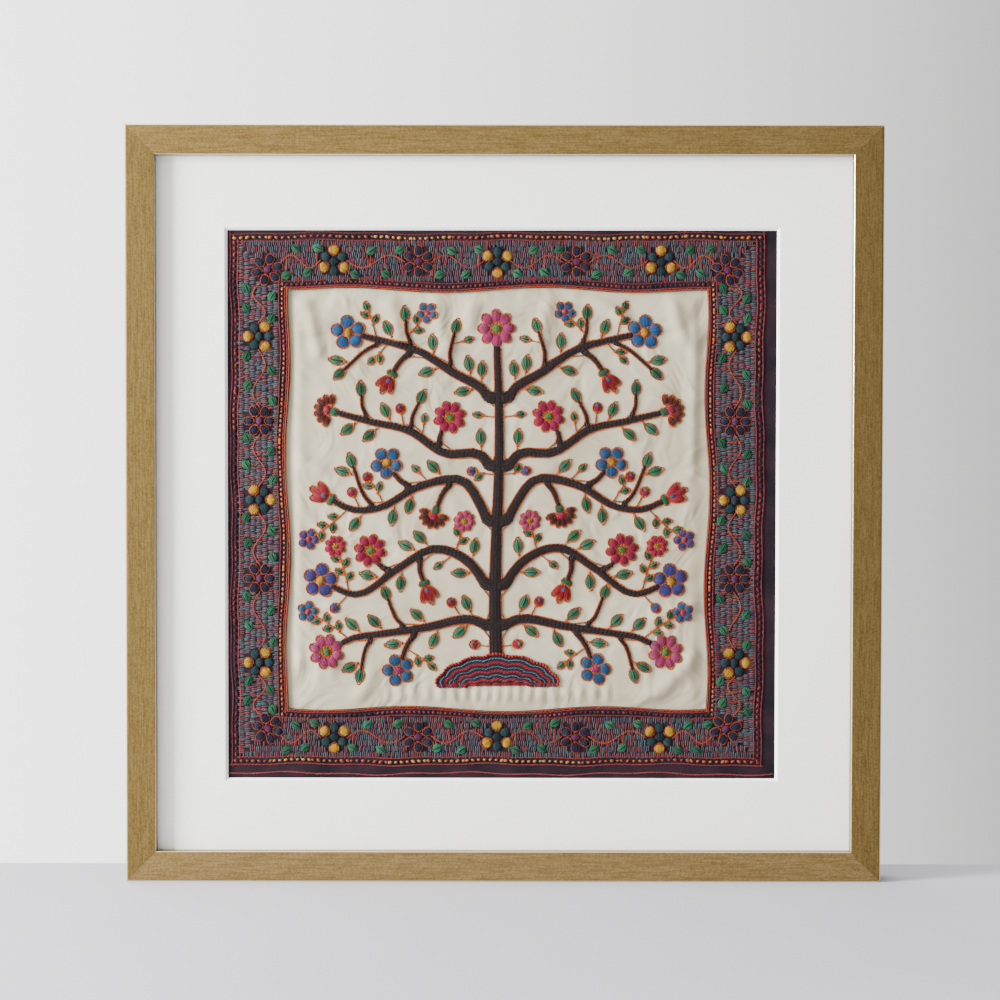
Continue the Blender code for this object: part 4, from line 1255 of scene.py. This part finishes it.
# Guards. Each is two lines of stem stitch with a row of knots between them, bright along
# some sides and dark along the others. An orange line runs along the cream cloth, and
# one more red line crosses the bottom margin.
GUARD_LINES = [
    {"reach": 193.9, "dye": "#8f3338", "start": 0.5, "wander": 1.0},
    {"reach": 188.4, "dye": "#a83a3c", "start": 0.5, "wander": 1.0},
    {"reach": 159.4, "dye": "#9c343c", "start": 2.1, "wander": 0.5},
    {"reach": 154.7, "dye": "#a5323c", "start": 2.1, "wander": 0.2},
    {"reach": 153.4, "dye": "#c8602c", "start": 2.1, "wander": 0.2},
]
MARGIN_LINE = {"reach": 200.5, "dye": "#a03a3c", "start": 1.2, "wander": 1.2}
KNOT_RUNS = 14
KNOT_DYES = ("#e08a32", "#d06c28", "#c25a30", "#e09a48", "#a84832")
DARK_KNOT_DYES = ("#8a3034", "#5a1f2a", "#7a2a34", "#3a2028", "#9c4034")


def square_line(reach, start, wander):
    """The sides of a square on the border, in the order of SIDES, as a hand draws them."""
    paths = []
    along = np.linspace(-reach, reach, 150)
    for outward in SIDES.values():
        drawn = reach + wander * (np.sin(along / 21 + start + outward) * 0.7)
        drawn = drawn + wander * 0.4 * np.sin(along / 7.3 + 2 * start + outward)
        x, y = along_side(outward, along, drawn - BAND_MIDDLE).T
        across, up = wavy(x * MM, y * MM)
        deep = border_deep(x * MM, y * MM) - 0.3 * MM
        paths.append(on_panel(across + WORK_MIDDLE[0], up + WORK_MIDDLE[1], deep))
    return paths


guard_lines = [
    (places, row["dye"])
    for row in (*GUARD_LINES, MARGIN_LINE)
    for side, places in zip(SIDES, square_line(row["reach"], row["start"], row["wander"]))
    if side == "bottom" or row is not MARGIN_LINE
]
guards = worked(
    "border_guard_lines",
    guard_lines,
    stem_stitch,
    line_sizes(2.6, 1.45, 0.95, seed=4),
    "maroon_worked_cloth",
)
outer_knots, inner_knots = (
    [
        (run, dyes[(side + first) % 2][int(needle.integers(5))])
        for side, places in enumerate(square_line(reach, start, wander))
        for run in np.array_split(places, KNOT_RUNS)
    ]
    for reach, start, wander, first, dyes in (
        (OUTER_GUARD / MM, 0.5, 1.0, 0, (KNOT_DYES, DARK_KNOT_DYES)),
        (INNER_GUARD / MM + 0.4, 2.1, 0.4, 1, (KNOT_DYES, DARK_KNOT_DYES)),
    )
)
knots = [
    worked(
        "outer_guard_knots",
        outer_knots,
        stem_stitch,
        line_sizes(3.9, 0.72, 1.9, seed=8, lean=0, wobble=0.5, uneven=0.25),
        "maroon_worked_cloth",
    ),
    worked(
        "inner_guard_knots",
        inner_knots,
        stem_stitch,
        line_sizes(3.2, 0.7, 1.7, seed=8, lean=0, wobble=0.4, uneven=0.25),
        "maroon_worked_cloth",
    ),
]
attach(border, "root")
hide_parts("border_cloth")


# Window mat. White mat board, 2 mm thick, with the window cut by a knife that leans at
# 45 degrees, so that the whiter core shows in the bevel. It is matt, with a faint tooth
# from the paper pulp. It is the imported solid.
PULP_SIZE = 2.38 * MM
mat_board, tree, shader = new_finish("white_mat_board", 0.85)
place = add(tree, "ShaderNodeTexCoord")["Object"]
pulp = add(tree, "ShaderNodeTexNoise", {"Vector": place, "Scale": 1 / PULP_SIZE, "Detail": 4})
face = add(
    tree, "ShaderNodeValToRGB", {"Fac": pulp["Fac"]}, stops=[(0.3, "#ecece4"), (0.7, "#f1f1e9")]
)
facing_out = add(tree, "ShaderNodeNewGeometry")["Normal"]
forward = add(tree, "ShaderNodeSeparateXYZ", {"Vector": facing_out})["Y"]
slope = add(tree, "ShaderNodeMath", {0: forward}, operation="ABSOLUTE")
bevel = add(tree, "ShaderNodeMath", {0: slope["Value"], 1: 0.9}, operation="LESS_THAN")
cut = add(
    tree,
    "ShaderNodeMix",
    {0: bevel["Value"], 6: face["Color"], 7: linear("#fbfbf8")},
    data_type="RGBA",
)
bump = add(
    tree, "ShaderNodeBump", {"Height": pulp["Fac"], "Strength": 0.15, "Distance": 0.1 * MM}
)
tree.links.new(cut[2], shader["Base Color"])
tree.links.new(bump["Normal"], shader["Normal"])
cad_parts["mat"].material_slots[0].material = mat_board


# Backing board. Plain brown hardboard, pressed from wood fibre, which closes the frame
# behind the cloths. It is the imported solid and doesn't show in front. Its fibre clumps
# mottle it.
FIBRE_CLUMP = 3.85 * MM
hardboard, tree, shader = new_finish("brown_hardboard", 0.75)
place = add(tree, "ShaderNodeTexCoord")["Object"]
clumps = add(tree, "ShaderNodeTexNoise", {"Vector": place, "Scale": 1 / FIBRE_CLUMP, "Detail": 6})
brown = add(
    tree, "ShaderNodeValToRGB", {"Fac": clumps["Fac"]}, stops=[(0.3, "#6d5138"), (0.7, "#8f6f4e")]
)
bump = add(
    tree, "ShaderNodeBump", {"Height": clumps["Fac"], "Strength": 0.3, "Distance": 0.2 * MM}
)
tree.links.new(brown["Color"], shader["Base Color"])
tree.links.new(bump["Normal"], shader["Normal"])
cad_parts["backing_board"].material_slots[0].material = hardboard


# Frame rails. Mitred wooden mouldings under gold foil, which was brushed along each rail
# before it was sealed. Brown shows through it. Its arrises are painted pale, partly as rubbed
# wear and partly as a painted highlight, and the two lying rails are painted a little lighter
# than the upright ones, as painted light. They are the imported solids.
GOLD = ("#5b4922", "#6f5a30", "#806b3e")
# Lighter tones for the top and bottom rails: painted light, as if they were lit a little brighter.
TOP_GOLD_PAINTED_LIGHTER = ("#645027", "#796237", "#8b7547")
BOTTOM_GOLD_PAINTED_LIGHTER = ("#6b5630", "#826a40", "#957d50")
# Pale gold of the arrises: rubbed wear and a painted highlight.
ARRIS_WEAR_AND_HIGHLIGHT = "#dccb9e"
ARRIS_SLOPES = (0.1, 0.96)
ARRIS_SMOOTHER = 0.14
STROKE_LONG = 14.3 * MM
STROKE_WIDE = 0.77 * MM
SPECK_SIZE = 1.11 * MM


def brushed_foil(name, axis, tones):
    """Gold foil on wood, brushed along an axis (0 is across and 2 is up)."""
    grain = [1 / STROKE_WIDE] * 3
    grain[axis] = 1 / STROKE_LONG
    foil, tree, shader = new_finish(name, 0.34, Metallic=0.85)
    place = add(tree, "ShaderNodeTexCoord")["Object"]
    drawn = add(tree, "ShaderNodeMapping", {"Vector": place, "Scale": grain})
    strokes = add(
        tree, "ShaderNodeTexNoise", {"Vector": drawn["Vector"], "Scale": 1, "Detail": 4}
    )
    specks = add(
        tree, "ShaderNodeTexNoise", {"Vector": place, "Scale": 1 / SPECK_SIZE, "Detail": 3}
    )
    mixed = add(
        tree, "ShaderNodeMix", {0: 0.5, 2: strokes["Fac"], 3: specks["Fac"]}, data_type="FLOAT"
    )
    gold = add(
        tree,
        "ShaderNodeValToRGB",
        {"Fac": mixed[0]},
        stops=list(zip((0.36, 0.5, 0.64), tones)),
    )
    facing = add(tree, "ShaderNodeNewGeometry")["Normal"]
    front = add(tree, "ShaderNodeSeparateXYZ", {"Vector": facing})["Y"]
    slope = add(tree, "ShaderNodeMath", {0: front}, operation="ABSOLUTE")["Value"]
    least, most = ARRIS_SLOPES
    off_side = add(tree, "ShaderNodeMath", {0: slope, 1: least}, operation="GREATER_THAN")["Value"]
    off_face = add(tree, "ShaderNodeMath", {0: slope, 1: most}, operation="LESS_THAN")["Value"]
    arris = add(tree, "ShaderNodeMath", {0: off_face, 1: off_side}, operation="MULTIPLY")["Value"]
    # Arrises painted pale: rubbed wear and a painted highlight along each one.
    rubbed_and_highlit = add(
        tree,
        "ShaderNodeMix",
        {0: arris, 6: gold["Color"], 7: linear(ARRIS_WEAR_AND_HIGHLIGHT)},
        data_type="RGBA",
    )
    rough = add(
        tree,
        "ShaderNodeMapRange",
        {"Value": mixed[0], "From Min": 0.3, "From Max": 0.7, "To Min": 0.42, "To Max": 0.27},
    )
    smoother = add(
        tree,
        "ShaderNodeMath",
        {0: arris, 1: -ARRIS_SMOOTHER, 2: rough["Result"]},
        operation="MULTIPLY_ADD",
    )
    bump = add(
        tree, "ShaderNodeBump", {"Height": mixed[0], "Strength": 0.3, "Distance": 0.1 * MM}
    )
    tree.links.new(rubbed_and_highlit[2], shader["Base Color"])
    tree.links.new(smoother["Value"], shader["Roughness"])
    tree.links.new(bump["Normal"], shader["Normal"])
    return foil


lying_foil = brushed_foil("gold_foil_brushed_across", 0, TOP_GOLD_PAINTED_LIGHTER)
standing_foil = brushed_foil("gold_foil_brushed_upright", 2, GOLD)
# The bottom rail's foil is painted lighter still, as painted light.
bottom_foil_painted_lighter = brushed_foil("gold_foil_painted_lighter", 0, BOTTOM_GOLD_PAINTED_LIGHTER)
for rail, foil in (
    ("rail_top", lying_foil),
    ("rail_bottom", bottom_foil_painted_lighter),
    ("rail_left", standing_foil),
    ("rail_right", standing_foil),
):
    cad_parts[rail].material_slots[0].material = foil

# Mitre joints. The framer rubs gold wax into each closed mitre, which leaves only a fine
# line. Each filling is a thin upright blade of wax just under the rails' faces.
WAX = {"outer": 1.6, "sight": 21.3, "half": 0.13, "sunk": 0.1, "deep": 4}
wax_lines = []
wax_faces = []
for quarter in range(4):
    along = turned((1, 0), radians(45 + 90 * quarter))
    aside = turned(along, pi / 2) * WAX["half"] * MM
    first = len(wax_lines)
    for inward in (WAX["outer"], WAX["sight"]):
        end = along * (FRAME_SIDE / 2 - inward * MM) * 2**0.5
        for deep in (WAX["sunk"] * MM, WAX["deep"] * MM):
            for flat in (end + aside, end - aside):
                wax_lines.append(tuple(on_panel(*flat, deep)))
    box = ((0, 1, 3, 2), (4, 6, 7, 5), (0, 4, 5, 1), (2, 3, 7, 6), (0, 2, 6, 4), (1, 5, 7, 3))
    wax_faces += [tuple(first + corner for corner in face) for face in box]
wax_mesh = bpy.data.meshes.new("mitre_wax")
wax_mesh.from_pydata(wax_lines, [], wax_faces)
wax_mesh.materials.append(lying_foil)
mitre_wax = bpy.data.objects.new("mitre_wax", wax_mesh)
bpy.context.scene.collection.objects.link(mitre_wax)
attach(mitre_wax, "root")


# Floor and light. A pale matt floor, faintly cloudy, which ends just behind the frame as
# in the photograph, and a pale room that is lighter on the left, where its window is.
FLOOR_REACH = 3
FLOOR_BACK = 55 * MM
CLOUD_SIZE = 333 * MM
floor_paint, tree, shader = new_finish("pale_matt_floor", 0.8)
place = add(tree, "ShaderNodeTexCoord")["Object"]
cloudy = add(tree, "ShaderNodeTexNoise", {"Vector": place, "Scale": 1 / CLOUD_SIZE, "Detail": 2})
pale = add(
    tree, "ShaderNodeValToRGB", {"Fac": cloudy["Fac"]}, stops=[(0.3, "#adacb3"), (0.7, "#b3b2b9")]
)
tree.links.new(pale["Color"], shader["Base Color"])
floor_mesh = bpy.data.meshes.new("floor")
floor_corners = [(-FLOOR_REACH, -FLOOR_REACH, 0), (FLOOR_REACH, -FLOOR_REACH, 0)]
floor_corners += [(FLOOR_REACH, FLOOR_BACK, 0), (-FLOOR_REACH, FLOOR_BACK, 0)]
floor_mesh.from_pydata(floor_corners, [], [(0, 1, 2, 3)])
floor_mesh.materials.append(floor_paint)
floor = bpy.data.objects.new("floor", floor_mesh)
bpy.context.scene.collection.objects.link(floor)

room = bpy.data.worlds.new("pale_room")
room.use_nodes = True
tree = room.node_tree
way = add(tree, "ShaderNodeTexCoord")["Generated"]
parts = add(tree, "ShaderNodeSeparateXYZ", {"Vector": way})
bright = add(
    tree,
    "ShaderNodeMapRange",
    {"Value": parts["X"], "From Min": -0.25, "From Max": 0.27, "To Min": 4.0, "To Max": 0.6},
)
behind = add(
    tree,
    "ShaderNodeMapRange",
    {"Value": parts["Y"], "From Min": -0.5, "From Max": 0.5, "To Min": 0.75, "To Max": 1.0},
)
strength = add(
    tree, "ShaderNodeMath", {0: bright["Result"], 1: behind["Result"]}, operation="MULTIPLY"
)
air = tree.nodes["Background"].inputs
air["Color"].default_value = linear("#f4f4f3")
tree.links.new(strength["Value"], air["Strength"])
bpy.context.scene.world = room


def soft_light(name, place, target, side, power):
    lamp = bpy.data.lights.new(name, "AREA")
    lamp.size = side
    lamp.energy = power
    holder = bpy.data.objects.new(name, lamp)
    way = np.array(target) - np.array(place)
    holder.matrix_world = Matrix.Translation(place) @ (
        Matrix.Rotation(atan2(-way[0], way[1]), 4, "Z")
        @ Matrix.Rotation(pi / 2 + atan2(way[2], hypot(way[0], way[1])), 4, "X")
    )
    bpy.context.scene.collection.objects.link(holder)


soft_light(
    "window_on_the_left", place=(-1.9, -0.75, 0.75), target=(0, 0, 0.27), side=0.7, power=205
)
